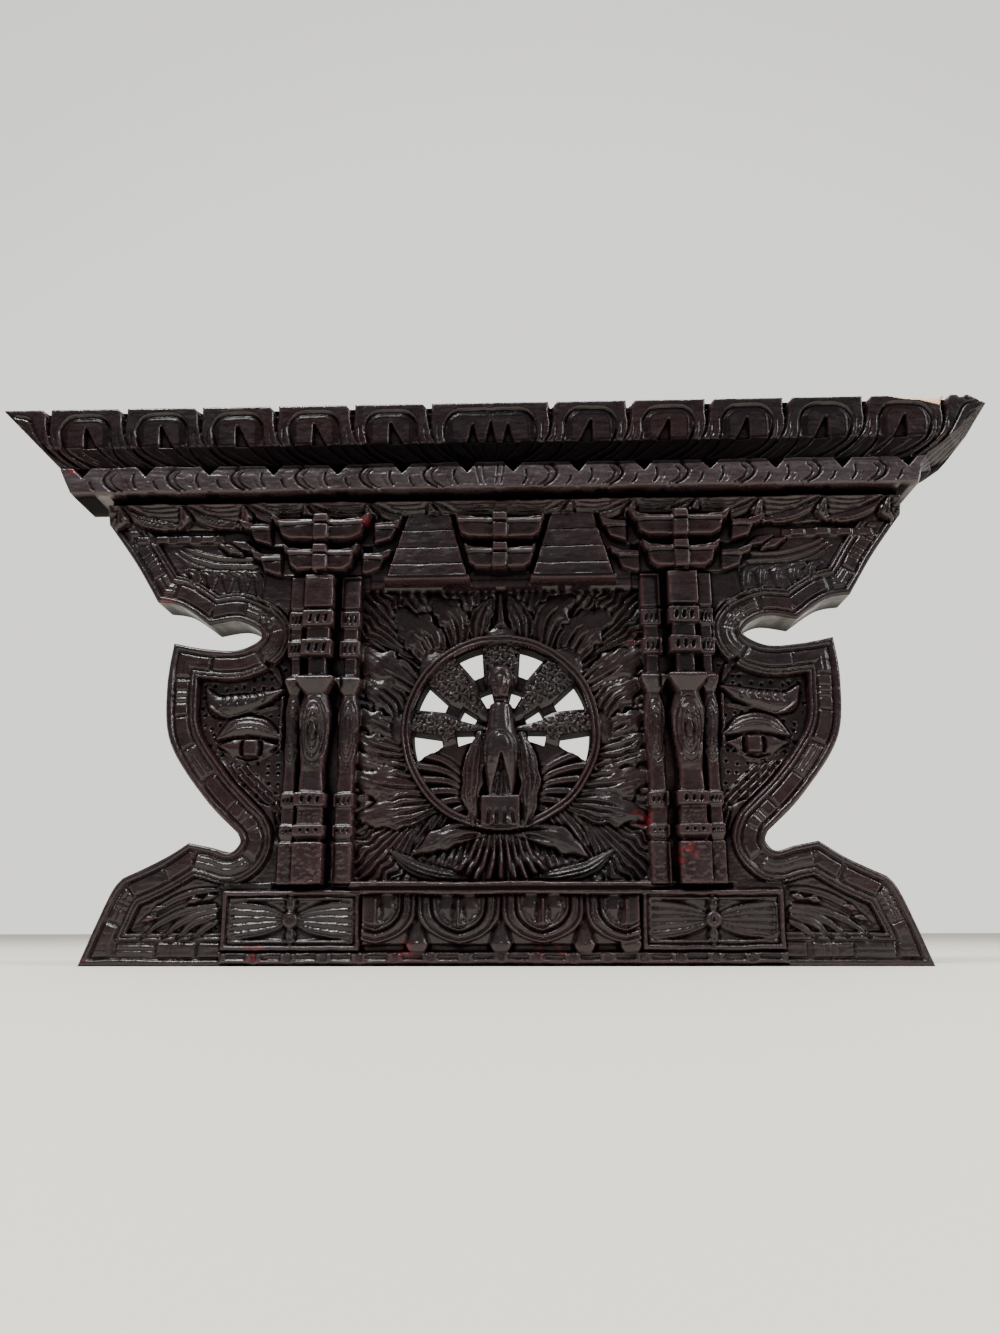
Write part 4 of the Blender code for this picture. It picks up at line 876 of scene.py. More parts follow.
def post(board, x, size, main):
    """One turned post: its profile with bevels, short flutes, and an urn with nested ovals."""
    width, front = size
    half, run = width / 2, POST_HEAD - POST_FOOT
    share, wide, short, bevel = np.array(POST_PROFILE).T
    levels = POST_FOOT + run * share
    patch = board.patch(between(x - width, x + width, POST_FOOT, POST_HEAD), 1.0)
    reach = half * np.interp(patch.z, levels, wide)
    face = front - half * np.interp(patch.z, levels, short)
    cut = 0.4 + half * np.interp(patch.z, levels, bevel)
    far = np.abs(patch.x - x)
    face = face - np.clip(far - (reach - cut), 0, None)
    tall = np.minimum(patch.z - POST_FOOT, POST_HEAD - patch.z)
    patch.cover(np.minimum(ramp(reach - far), ramp(tall)), face)

    def level(share):
        return POST_FOOT + run * share

    def part(low, high):
        return between(x - half, x + half, level(low), level(high))

    for low, high in POST_FLUTED:
        for dx in (-0.5, 0.0, 0.5):
            line = [(x + dx * half + 0.4, level(high) - 0.9), (x + dx * half - 0.3, level(low) + 1.0)]
            board.stroke(line, half * 0.26, -1.5, ends=(0.7, 0.7))
    urn = [level(share) for share in POST_URN]
    middle, tall = (urn[0] + urn[1]) / 2, (urn[1] - urn[0]) / 2
    for scale, stroke_width, depth in URN_OVALS:
        reach, rise = half * scale, tall * (0.25 + 0.72 * scale)
        ring = [(x + reach * sin(a * pi / 8), middle + rise * cos(a * pi / 8)) for a in range(17)]
        board.path(ring, stroke_width * half / 6.6 + 0.3, -depth)
    if main:
        seed = [(x, middle + 3), (x, middle), (x, middle - 3.5)]
        board.leaf(seed, (1.5, 4.2, 1.0), front - 1.6, 1.9, veins=1)
        board.block(x, level(0.97), width - 1.0, run * 0.035, front + 0.25, soft=0.3)
        board.rough(part(*POST_BASE), 1.5, 0.22, 71)
        board.dots(part(*POST_DOTTED), 1.9, 0.6, 0.5, 72)
    else:
        board.rough(part(*POST_BASE), 1.6, 0.2, 73)
    board.stroke([(x - half * 1.2, level(0.646)), (x + half * 1.2, level(0.646))], 0.8, 0.3, ends=(0.5, 0.5))


def posts(board):
    """A main post and its two thinner neighbours on each side of the window."""
    for side in (-1, 1):
        x = side * CLUSTER
        post(board, x - side * (MAIN_POST[0] / 2 + 3.0 + INNER_POST[0] / 2), INNER_POST, False)
        post(board, x + side * (MAIN_POST[0] + OUTER_POST[0]) / 2, OUTER_POST, False)
        post(board, x, MAIN_POST, True)


WINDOW_RISES = (2.2, 3.2, 4.2, 4.6, 3.6)
WINDOW_LEAVES = (
    # Points of the spine from the hub, on the right; widths; number of cuts and how far out they run
    (((40, 39), (50, 49.5), (61.0, 61.0)), (10, 18, 25, 27), 7, 1.3),
    (((40, -40), (50, -50.5), (61.0, -62.0)), (10, 18, 25, 26), 7, 1.3),
    (((42, -16), (52, -13), (62, -11)), (8, 12, 12, 6), 3, 0.8),
    (((38, 19), (49, 26), (60, 34)), (10, 17, 18, 9), 3, 0.55),
    (((35, -25), (48, -24), (61.5, -20)), (9, 15, 15, 6), 3, 0.6),
    (((29, 31), (35, 42), (45, 51.5)), (10, 17, 18, 9), 4, 0.6),
    (((43, 3), (49, 13), (60.5, 21)), (9, 14, 14, 6), 4, 0.75),
    (((19, 39.5), (21.5, 50), (30.5, 59.5)), (8, 13, 14, 6), 3, 0.62),
    (((43.5, -2), (53, 2), (62, 8)), (7, 11, 11, 5), 3, 0.6),
    (((42.5, -9), (53, -7), (62, -3)), (7, 10, 10, 4), 3, 0.8),
    (((30, -31.5), (44, -34), (60, -37)), (7, 14, 14, 5), 4, 0.65),
    (((10, 42.5), (9.5, 51), (4.5, 61)), (7, 10, 9, 2), 3, 0.8),
    (((7, -44.0), (22, -45.5), (37, -54)), (3, 9.5, 10, 1), 2, 0.5),
)


def window(board):
    """The sunk field with its leaves, kept inside its own edges, and the roundel."""
    edges = between(-WINDOW_HALF, WINDOW_HALF, WINDOW_SILL, WINDOW_HEAD)
    beyond = inside(board.carve_x, board.carve_z, edges) < 0
    around = board.height[beyond]

    def ground(px, pz):
        rays = np.cos(112 * np.arctan2(px, pz - HUB_Z) + 1.5 * noise(px, pz, 9.0, 80))
        raised = 2.2 * ramp(np.maximum(np.abs(px), np.abs(pz - HUB_Z)) - 54.0, 10.0)
        return FLOOR + 1.0 + raised + 0.6 * rays + 0.3 * noise(px, pz, 2.0, 81)

    board.plate(edges, ground, edge=0.5)
    rng = np.random.default_rng(82)
    for i, (spine, widths, cuts, reach) in enumerate(WINDOW_LEAVES):
        for side in (-1, 1):
            sway = rng.uniform(-0.8, 0.8, 3)
            points = [(side * spine[0][0], HUB_Z + spine[0][1])]
            points += [(side * (x + sway[0]), HUB_Z + z + sway[1]) for x, z in spine[1:]]
            sizes = [width + 0.6 * sway[2] for width in widths]
            board.acanthus(points, sizes, FLOOR + 0.6, WINDOW_RISES, cuts, reach, 300 + 2 * i + side)
    for dx in (-14, -10.5, -7, -3.6, 0, 3.6, 7, 10.5, 14):
        head, foot = HUB_Z - RING_OUTER - 0.4, WINDOW_SILL + 0.2
        line = [(dx * 0.62, head), (dx * 0.95, HUB_Z - 54.0), (dx * 1.6, foot)]
        board.stroke(line, 3.3, 3.0, ends=(0.8, 1.0))
    for side in (-1, 1):
        crescent = [(side * x, WINDOW_SILL + z) for x, z in ((14, 1.5), (28, 3.2), (38, 6.2), (47, 12.5))]
        board.leaf(crescent, (2.0, 6.0, 7.5, 7.0, 2.0), FLOOR + 0.6, (2.6, 3.8, 3.6), veins=2, vein=1.1)
    dart = [(0.0, HUB_Z + RING_OUTER - 0.5), (0.0, HUB_Z + 50.0), (0.0, WINDOW_HEAD - 1.2)]
    board.leaf(dart, (16.0, 4.6, 3.2, 2.0), FLOOR, (3.4, 4.6, 4.2), veins=1, vein=0.8)
    board.height[beyond] = around
    roundel(board)


def roundel(board):
    """The ring, the feathers of the fan with their openings, and the bird in front."""
    low, high = (-RING_OUTER - 1, HUB_Z - RING_OUTER - 1), (RING_OUTER + 1, HUB_Z + RING_OUTER + 1)
    patch = Patch(board, low, high, 0.5)
    radius = np.hypot(patch.x, patch.z - HUB_Z)
    patch.cover(ramp(RING_OUTER - radius), FLOOR + 0.4)
    first = -(FEATHERS - 1) / 2 * FEATHER_STEP
    for i in range(FEATHERS):
        feather(board, first + i * FEATHER_STEP)
    for side in (-1, 1):
        for i in range(LOW_RIBS):
            start = polar(RING_INNER, side * (LOW_RIB_START + i * LOW_RIB_STEP))
            foot = (side * (8.0 + 0.5 * i), BIRD_FOOT + 14.0 - 1.9 * i)
            middle = ((start[0] + foot[0]) / 2, (start[1] + foot[1]) / 2 + 4.5 - 0.4 * i)
            rises = (3.0, 2.8, 2.2)
            board.leaf([start, middle, foot], (4.2, 3.4, 1.2), FLOOR - 0.2, rises, veins=1, gap=0.5)
    in_ring = np.minimum(ramp(radius - RING_INNER), ramp(RING_OUTER - radius))
    patch.cover(in_ring, profile(radius, RING_PROFILE))
    bird(board)


def feather(board, angle):
    """A feather of the fan: a plain shaft and a broad curly end."""
    def place(share, off=0.0):
        return polar(RING_INNER * share, angle + off)

    spine = [place(s) for s in (0.18, 0.45, 0.72, 0.99)]
    board.leaf(spine, (4.5, 9.5, 15.5, 18.5, 18.0), FLOOR, (2.6, 3.2, 4.0, 3.6), vein=0.0, gap=0.3)
    curly = [place(0.34, off) for off in (-9, 9)]
    curly += [place(0.70, 12), place(0.98, 13), place(0.98, 0), place(0.98, -13), place(0.70, -12)]
    board.curls(curly, 4.8, 0.70, int(200 + angle))
    board.rough(curly, 1.3, 0.25, int(400 + angle))
    for off in (-11.5, 11.5):
        board.groove([place(0.62, off), place(0.80, off), place(0.97, off)], 1.0, 0.8, ends=(1, 1))


BIRD_SHAPE = (
    # Level as a share of the bird's height, half width, height as a share of the full relief
    (0.10, 4.6, 0.45), (0.30, 6.8, 0.72), (0.42, 8.0, 0.94), (0.50, 8.2, 1.00), (0.56, 7.2, 0.98),
    (0.63, 6.0, 0.92), (0.72, 5.0, 0.84), (0.755, 4.8, 0.80), (0.765, 3.8, 0.62), (0.785, 3.8, 0.62),
    (0.80, 5.2, 0.86), (0.86, 5.8, 0.95), (0.93, 5.7, 0.96), (0.975, 4.9, 0.90), (1.00, 3.0, 0.70),
)


def bird(board):
    """A standing bird seen from the front, with folded wings, on a notched block."""
    def level(share):
        return BIRD_FOOT + BIRD_TALL * share

    for side in (-1, 1):
        spine = ((9.2, 0.56), (11.6, 0.40), (12.6, 0.22), (11.2, 0.03))
        wing = on_side(side, *[(x, level(share)) for x, share in spine])
        board.acanthus(wing, (4.0, 8.2, 9.0, 7.6, 4.0), FLOOR, (7.8, 7.8, 7.0, 5.6), 4, 1.2, 500 + side)
    share, wide, rise = np.array(BIRD_SHAPE).T
    patch = board.patch(between(-12, 12, level(0.08), level(1.0)), 1.5)
    half = np.interp(patch.z, BIRD_FOOT + BIRD_TALL * share, wide)
    top = BIRD_HEIGHT * np.interp(patch.z, BIRD_FOOT + BIRD_TALL * share, rise)
    across = unit(np.abs(patch.x) / half)
    ends = np.minimum(ramp(patch.z - level(0.12)), ramp(level(1.0) - patch.z, 0.8))
    patch.cover(ramp(half - np.abs(patch.x)) * ends, FLOOR + top * (0.42 + 0.58 * np.sqrt(1 - across**2)))
    board.block(0.0, level(0.095), 17.0, BIRD_TALL * 0.19, FLOOR + BIRD_HEIGHT * 0.62, soft=0.8)
    for dx in (-5.6, -1.9, 1.9, 5.6):
        board.stroke([(dx, level(0.01)), (dx * 0.85, level(0.11))], 1.6, -1.6, ends=(0.3, 2))
    for dx in (-2.8, 2.8):
        board.stroke([(dx, level(0.015)), (dx, level(0.06))], 2.2, 1.2, ends=(0.5, 1.2))
    board.plate([(-4.8, level(0.19)), (4.8, level(0.19)), (0.2, level(0.44))], FLOOR + 4.4, edge=1.2)
    for dx in (-2.4, 0.0, 2.4):
        board.stroke([(dx, level(0.19)), (dx * 0.4, level(0.36))], 1.2, 1.4, ends=(0.5, 2))
    for reach in (0.0, 2.2):
        bib = [(-6.4 + reach, level(0.38)), (-5.6 + reach, level(0.52)), (0.0, level(0.575) - reach * 0.6),
               (5.6 - reach, level(0.52)), (6.4 - reach, level(0.38))]
        board.groove(bib, 1.1, 0.8, ends=(2, 2))
    for dx in (-2.6, 2.6):
        board.groove([(dx, level(0.735)), (dx * 1.25, level(0.60))], 1.0, 0.6, ends=(1, 3))
    beak = [(0, level(0.90)), (0, level(0.85)), (0, level(0.79))]
    board.leaf(beak, (3.8, 3.0, 0.6), FLOOR + 9.3, (1.0, 1.4, 0.3), vein=0.0, gap=0.4)
    for side in (-1, 1):
        eye = on_side(side, (2.6, level(0.905)), (3.6, level(0.900)))
        board.stroke(eye, 1.3, -0.7, ends=(0.5, 0.5))


def wings(board):
    """The border that follows the outline, and the three fields inside it."""
    line = [*wing_edge(), (PANEL_ENDS, 0.0)]
    for side in (-1, 1):
        patch = board.patch(on_side(side, (60.0, 0.0), (182.0, TIER_FOOT)), 1.0)
        x = side * patch.x
        far, along = near_line(x, patch.z, line)[:2]
        level = profile(far, BORDER)
        shallow = ramp(patch.z - UPPER_FIELD, 6) + ramp(LOWER_FIELD - patch.z, 6)
        level += (SHALLOW - FIELD) * ramp(far - BORDER_WIDTH) * shallow
        patch.cover(1.0, level)
        beads(patch, far, along, side)
        # Lines that follow the border at the foot of the middle field
        ribs = 0.8 * np.cos(2 * pi * (far - 14.6) / 2.5) + 0.9
        foot = ramp(patch.z - 56, 3) * ramp(84 - patch.z, 5) * ramp(23.0 - far, 1.5) * ramp(128 - x, 2)
        patch.height += ramp(far - 14.0, 0.8) * foot * ribs
        middle_field(board, side)
        upper_field(board, side)
        lower_field(board, side)


def beads(patch, far, along, side):
    """Long rounded beads in the border's channel; some are scored."""
    count = np.floor(along / BEAD_PITCH)
    local = along - (count + 0.5) * BEAD_PITCH
    stagger = 0.6 * np.sin(count * 2.3 + side)
    across = far - BEAD_MIDDLE
    depth = np.minimum(BEAD_LENGTH / 2 - np.abs(local - stagger), BEAD_HALF - np.abs(across))
    level = BEAD_HEIGHT - 0.5 * (1 - unit(depth / 0.9)) ** 2
    scored = (count % 4 == 1) & (np.abs(local) < 4.5)
    level = level - scored * 0.6 * (0.5 + 0.5 * np.cos(2 * pi * local / 2.6)) ** 2
    ridged = count % 3 == 2
    level = level - ridged * 0.6 * (0.5 + 0.5 * np.cos(2 * pi * across / 2.1)) ** 2
    patch.cover(ramp(depth, 0.9), level)


def middle_field(board, side):
    """The sunk field with its punched ground, a feathered brow, a lidded eye and an upright bar."""
    place = partial(on_side, side)
    cx, cz = EYE
    ground = place((94, 54), (98, 62), (112, 74), (128, 92), (133, 112), (131, 122), (112, 122), (94, 128))
    board.dots(ground, 4.3, 0.95, 1.5, 91)
    brow = place((129.5, 116.5), (124.0, 110.0), (113.5, 110.6), (104.0, 113.4), (95.5, 117.0))
    board.leaf(brow, (2.0, 9.5, 10.0, 8.0, 6.0, 1.0), FIELD, (2.2, 3.2, 3.4, 3.0), vein=0.0)
    for i in range(6):
        x = 123.0 - 3.6 * i
        rib = place((x + 1.0, 115.4 + 0.2 * i), (x - 1.2, 113.0), (x + 0.2, 109.6 + 0.3 * i))
        board.groove(rib, 1.2, 1.1, ends=(1, 1))
    board.stroke(place((128.5, 110.0), (120.0, 104.6), (110.0, 106.8), (97.5, 109.6)), 1.4, 1.5)
    dome = place((cx + 14.0, cz + 2.6), (cx + 6.5, cz + 7.0), (cx, cz + 7.8), (cx - 6.5, cz + 6.8),
                 (cx - 12.6, cz + 3.6))
    board.leaf(dome, (1.5, 8.0, 9.5, 8.5, 2.5), FIELD, (2.0, 3.6, 3.4, 2.2), vein=0.0, gap=1.2)
    for drop in (0.0, 2.4):
        lid = place((cx + 12.5, cz + 3.4), (cx + 6.5, cz + 9.0 - drop), (cx, cz + 10.2 - drop),
                    (cx - 6.5, cz + 9.0 - drop), (cx - 12.0, cz + 5.4 - drop * 0.5))
        board.groove(lid, 1.1, 0.9, ends=(2, 2))
    eye = place((cx + 13.4, cz - 0.6), (cx + 6, cz - 1.2), (cx, cz - 1.4), (cx - 6, cz - 1.2),
                (cx - 12.6, cz - 0.4))
    board.leaf(eye, (0.8, 7.5, 9.5, 8.0, 1.0), FIELD, (1.6, 2.6, 1.6), vein=0.0, gap=1.2)
    board.block(side * (cx - 1.4), cz - 1.4, 6.4, 7.2, 18.6, soft=0.8)
    for dx in (-4.0, 4.0):
        x = side * (cx - 1.4 + dx)
        cut = [(x, cz + 2.2), (x + side * dx * 0.14, cz - 1.4), (x, cz - 5.0)]
        board.stroke(cut, 1.7, -2.2, ends=(0.6, 0.6))
    board.stroke(place((cx + 13, cz - 2.4), (cx, cz - 7.4), (cx - 11.5, cz - 2.6)), 1.4, 1.5, ends=(3, 3))
    board.stroke(place((96.0, 114.5), (96.0, 89.5)), 2.6, 3.0, ends=(0.8, 0.8))
    for z in (62.0, 124.0):
        board.leaf(place((104, z + 5), (100, z + 2), (97, z - 4)), (1.0, 4.2, 1.0), FIELD, 1.8, veins=1)


def upper_field(board, side):
    """Curled ribbed leaves under parallel arcs."""
    place = partial(on_side, side)
    for dz, width in ((0.0, 2.3), (3.4, 2.0), (-3.2, 1.4)):
        arc = place((147.5 - dz * 0.6, 183.2 + dz * 0.5), (139.8, 178.7 + dz), (127.2, 175.4 + dz),
                    (110.0, 175.0 + dz))
        board.stroke(arc, width, 1.2, ends=(2, 3))
    for i in range(5):
        x = 141.0 - 7.4 * i
        lobe = place((x + 3.0, 173.0 - 0.4 * i), (x - 1.5, 171.2 - 0.5 * i), (x - 2.5, 165.0 - 1.5 * i))
        board.leaf(lobe, (1.5, 5.2, 4.6, 1.0), SHALLOW, (0.8, 1.2, 0.9), veins=1, gap=0.4)
        board.stroke(place((x - 1.0, 173.4), (x - 4.4, 170.5), (x - 3.8, 166.5)), 1.1, 0.7)
    low, high = sorted((side * 127, side * 169))
    board.plate(between(low, high, 185.6, 189.6), 18.6, soft=0.4)
    for x in (134, 145, 155, 164):
        board.block(side * x, 187.6, 6.0, 3.2, 19.6, soft=0.4)
    for x, z in ((122.5, 182.6), (116.5, 184.0)):
        tip = place((x + 6, z + 2.0), (x, z), (x - 5, z - 2.5))
        board.leaf(tip, (1.0, 5.5, 1.5), SHALLOW, 3.0, veins=1, vein=0.4)
    for i in range(3):
        line = place((117 - 5 * i, 160.5 - 1.5 * i), (108 - 4 * i, 158.5 - 1.5 * i), (100 - 3 * i, 152 - i))
        board.stroke(line, 1.5, 1.3)


def lower_field(board, side):
    """Ribbed sprays that sweep up towards the posts above the foot, and small curled lumps."""
    sprays = (
        ((149.7, 10.8), (142.1, 17.3), (130.8, 21.9), (119.5, 24.0)),
        ((140.9, 11.0), (133.3, 17.3), (123.2, 21.0), (118.5, 22.2)),
        ((134.6, 10.6), (128.3, 16.6), (119.0, 19.9)),
        ((128.3, 10.6), (123.2, 14.8), (118.5, 17.4)),
        ((150.5, 17.0), (140.0, 25.0), (128.0, 29.6), (119.0, 30.6)),
    )
    for spray in sprays:
        widths, rises = (1.0, 3.6, 3.8, 2.2), (0.9, 1.6, 1.3)
        board.leaf(on_side(side, *spray), widths, SHALLOW, rises, veins=1, vein=0.7, gap=0.4)
    for x, z in ((128.3, 26.0), (122.0, 27.2), (143.4, 23.0), (147.1, 18.8)):
        lump = on_side(side, (x + 2.6, z - 0.8), (x, z + 0.3), (x - 2.6, z + 0.6))
        board.leaf(lump, (1.0, 3.4, 1.2), SHALLOW, (1.4, 2.2, 1.6), vein=0.0, gap=0.4)
    for z in (31.2, 15.2):
        board.stroke(on_side(side, (118.6, z), (118.8, z - 0.4)), 2.6, -2.2, ends=(0.3, 0.3))


def plinth(board):
    """Sill, hanging lotus petals, side panels and the foot strip."""
    edge = between(-PANEL_ENDS, PANEL_ENDS, 0.0, LEDGE_TOP)
    board.plate(edge, PLANK, edge=0.5)
    bed = between(-LOTUS_HALF, LOTUS_HALF, LOTUS_FOOT, LEDGE_FOOT)
    board.plate(bed, lambda px, pz: profile(pz, LOTUS_BED), soft=0.3)
    for i in (-1.5, 1.5, -0.5, 0.5):
        lotus_petal(board, i * LOTUS_PITCH)
    sill = between(-WINDOW_HALF + 1.2, WINDOW_HALF - 1.2, LEDGE_FOOT, LEDGE_TOP)
    board.plate(sill, SILL_HEIGHT, soft=0.2)
    board.rough(sill, 2.2, 0.12, 101)
    for side in (-1, 1):
        side_panel(board, side)
        low, high = sorted((side * 64, side * 96))
        board.plate(between(low, high, 31.0, 33.2), 16.4)
    strip = between(-PANEL_ENDS, PANEL_ENDS, 0.9, 5.6)
    board.plate(strip, STRIP_HEIGHT, soft=0.4)
    step = 2 * PANEL_ENDS / DENTILS
    for i in range(DENTILS):
        x = (i - (DENTILS - 1) / 2) * step
        board.block(x, 3.3, step * 0.82, 3.6, STRIP_HEIGHT + 1.0, soft=0.4)
        board.block(x, 3.6, step * 0.58, 2.0, 20.0, soft=0.3)


def lotus_petal(board, x):
    """A hanging petal: nested outlines round two bright hollows and a dart between them."""
    head, tip = LEDGE_FOOT - 0.3, LOTUS_FOOT + 0.4
    half = LOTUS_PITCH / 2 - 0.3

    def outline(scale, drop):
        shape = ((1.0, 0.0), (1.0, 0.36), (0.92, 0.58), (0.68, 0.79), (0.34, 0.93), (0.0, 1.0))
        side = [(half * scale * s, head - (head - tip - drop) * t) for s, t in shape]
        line = curve_through(side, 4)
        line += [(-a, b) for a, b in line[-2::-1]]
        return [(max(-LOTUS_HALF, min(LOTUS_HALF, x + a)), b) for a, b in line]

    joint = max(-LOTUS_HALF + 4.5, min(LOTUS_HALF - 4.5, x + LOTUS_PITCH / 2))
    wedge = [(joint, tip), (joint, tip + 5.0), (joint, tip + 11.0)]
    board.leaf(wedge, (9.0, 6.0, 1.0), 20.4, (2.2, 1.8, 1.0), veins=1, vein=0.6)
    board.plate(outline(1.0, 0.0), lambda px, pz: profile(pz, LOTUS_FACE), soft=1.0)
    for scale, drop, width, depth in ((0.88, 1.6, 1.3, 1.4), (0.66, 4.4, 1.8, 1.9), (0.55, 6.4, 1.2, 1.3)):
        board.path(outline(scale, drop), width, -depth)
    for side in (-1, 1):
        flank = [(x + side * half * 0.77, head - 1.0), (x + side * half * 0.76, head - 9.0),
                 (x + side * half * 0.45, head - 15.0)]
        if abs(flank[0][0]) < LOTUS_HALF - 1:
            board.groove(flank, 0.9, 0.6)
    for side in (-1, 1):
        hollow = [(x + side * 4.6, head - 0.6), (x + side * 4.9, head - 5.5), (x + side * 3.4, head - 10.0)]
        if abs(hollow[0][0]) < LOTUS_HALF - 3:
            board.leaf(hollow, (5.4, 6.4, 1.4), 21.4, (1.6, 2.6, 1.4), vein=0.0, gap=1.3)
    if abs(x) < LOTUS_HALF - 3:
        board.stroke([(x, head - 1.0), (x, head - 13.0)], 1.6, 1.6, ends=(1, 2))


def side_panel(board, side):
    """A double frame round a boss with four petals and long ribs."""
    low, high, foot, head = SIDE_PANEL
    x, z = side * (low + high) / 2, (foot + head) / 2
    wide, tall = high - low, head - foot
    for less_wide, less_tall, level, soft in PANEL_FRAMES:
        board.block(x, z, wide - less_wide, tall - less_tall, level, soft)
    reach, rise = wide / 2 - 5.2, tall / 2 - 4.6
    for dx in (-1, 1):
        for dz, bend in ((0.86, 1.5), (0.42, 0.6), (0.0, 0.0), (-0.42, -0.6), (-0.86, -1.5)):
            spine = [(x + dx * 3.6, z + dz * 2.6), (x + dx * reach * 0.45, z + dz * rise * 0.62 + bend * 0.4),
                     (x + dx * reach, z + dz * rise)]
            board.leaf(spine, (1.4, 2.9, 3.5, 3.5), 19.5, (0.6, 0.7, 0.6), veins=1, vein=0.4, gap=0.9)
    for dz in (-1, 1):
        petal_line = [(x, z + dz * 3.0), (x, z + dz * 5.4), (x, z + dz * (rise + 0.6))]
        board.leaf(petal_line, (2.4, 4.6, 3.6), 19.0, (1.6, 2.2, 1.8), veins=1)
    bar = x + side * (wide / 2 - 3.1)
    board.stroke([(bar, z - tall / 2 + 5.0), (bar, z + tall / 2 - 5.0)], 1.7, 1.2, ends=(0.8, 0.8))
    boss = [(x + 3.5 * cos(a * pi / 8), z + 3.5 * sin(a * pi / 8)) for a in range(16)]
    board.plate(boss, 21.9, soft=1.0)
    board.stroke([(x - 0.1, z), (x + 0.1, z)], 2.6, -2.6, ends=(0.01, 0.01))


# Where the stain is thin: x, level and size
RED_PLACES = (
    (-198, 220, 7), (-178, 4, 9), (8, 118, 5), (-150, 157, 5), (-119, 196, 4), (-60, 193, 5), (62, 60, 9),
    (75, 45, 9), (20, 6, 8), (-40, 7, 9), (60, 140, 6), (-100, 5, 8),
)


def finish_surface(board):
    """Rounds the silhouette, leaves chisel marks, and finds the red places that show through."""
    x, z = board.x, board.z
    edge = np.full(x.shape, np.inf)
    near = board.rim.copy()
    for _ in range(RIM_STEPS):
        grown = near.copy()
        grown[1:] |= near[:-1]
        grown[:-1] |= near[1:]
        grown[:, 1:] |= near[:, :-1]
        grown[:, :-1] |= near[:, 1:]
        near = grown
    edge[near] = np.abs(inside(x[near], z[near], OUTLINE))
    board.height -= 0.45 * unit(1 - edge) ** 2
    board.height += 0.07 * noise(x, z, 2.3, 5) + 0.05 * noise(x, z, 1.1, 6)
    board.height += 0.05 * noise(x * 0.22, z, 0.95, 7)
    for sx, sz, size in RED_PLACES:
        board.red += np.exp(-((x - sx) ** 2 + 2.5 * (z - sz) ** 2) / size**2)
    board.red *= np.clip(0.5 + 0.9 * noise(x, z, 2.6, 8) + 0.5 * noise(x, z, 1.2, 9), 0, 1.2)
    np.clip(board.height, 1.0, MOST_HEIGHT, out=board.height)


def recesses(board):
    """How far each place lies sunk below what is round it, from 0 to 1, with the dull and pierced places:
    painted shade.
    """
    in_window = (np.abs(board.x) < 70) & (board.z > WINDOW_SILL - 4) & (board.z < WINDOW_HEAD + 4)
    # The window's frame would darken the leaves beside it, so it counts as no higher than they are.
    relief = np.minimum(board.height, np.where(in_window, LEAF_HEIGHT, MOST_HEIGHT))
    # Painted shade: the further a place lies below the blurred heights round it, the darker and duller it is
    # drawn.
    sunk = unit((blurred(relief, WIDE_BLUR) - relief - 0.9) / 3.6)
    narrow = unit((blurred(relief, NARROW_BLUR) - relief - 0.30) / 1.2)
    return np.maximum.reduce([board.pierced, board.dull, sunk, narrow])


def blurred(values, radius):
    """A box blur, run twice, over a number of grid steps."""
    for _ in range(2):
        for axis in (0, 1):
            padded = np.pad(values, [(radius, radius) if a == axis else (0, 0) for a in (0, 1)], mode="edge")
            total = np.cumsum(padded, axis=axis)
            total = np.insert(total, 0, 0.0, axis=axis)
            size = 2 * radius + 1
            if axis == 0:
                values = (total[size:] - total[:-size]) / size
            else:
                values = (total[:, size:] - total[:, :-size]) / size
    return values


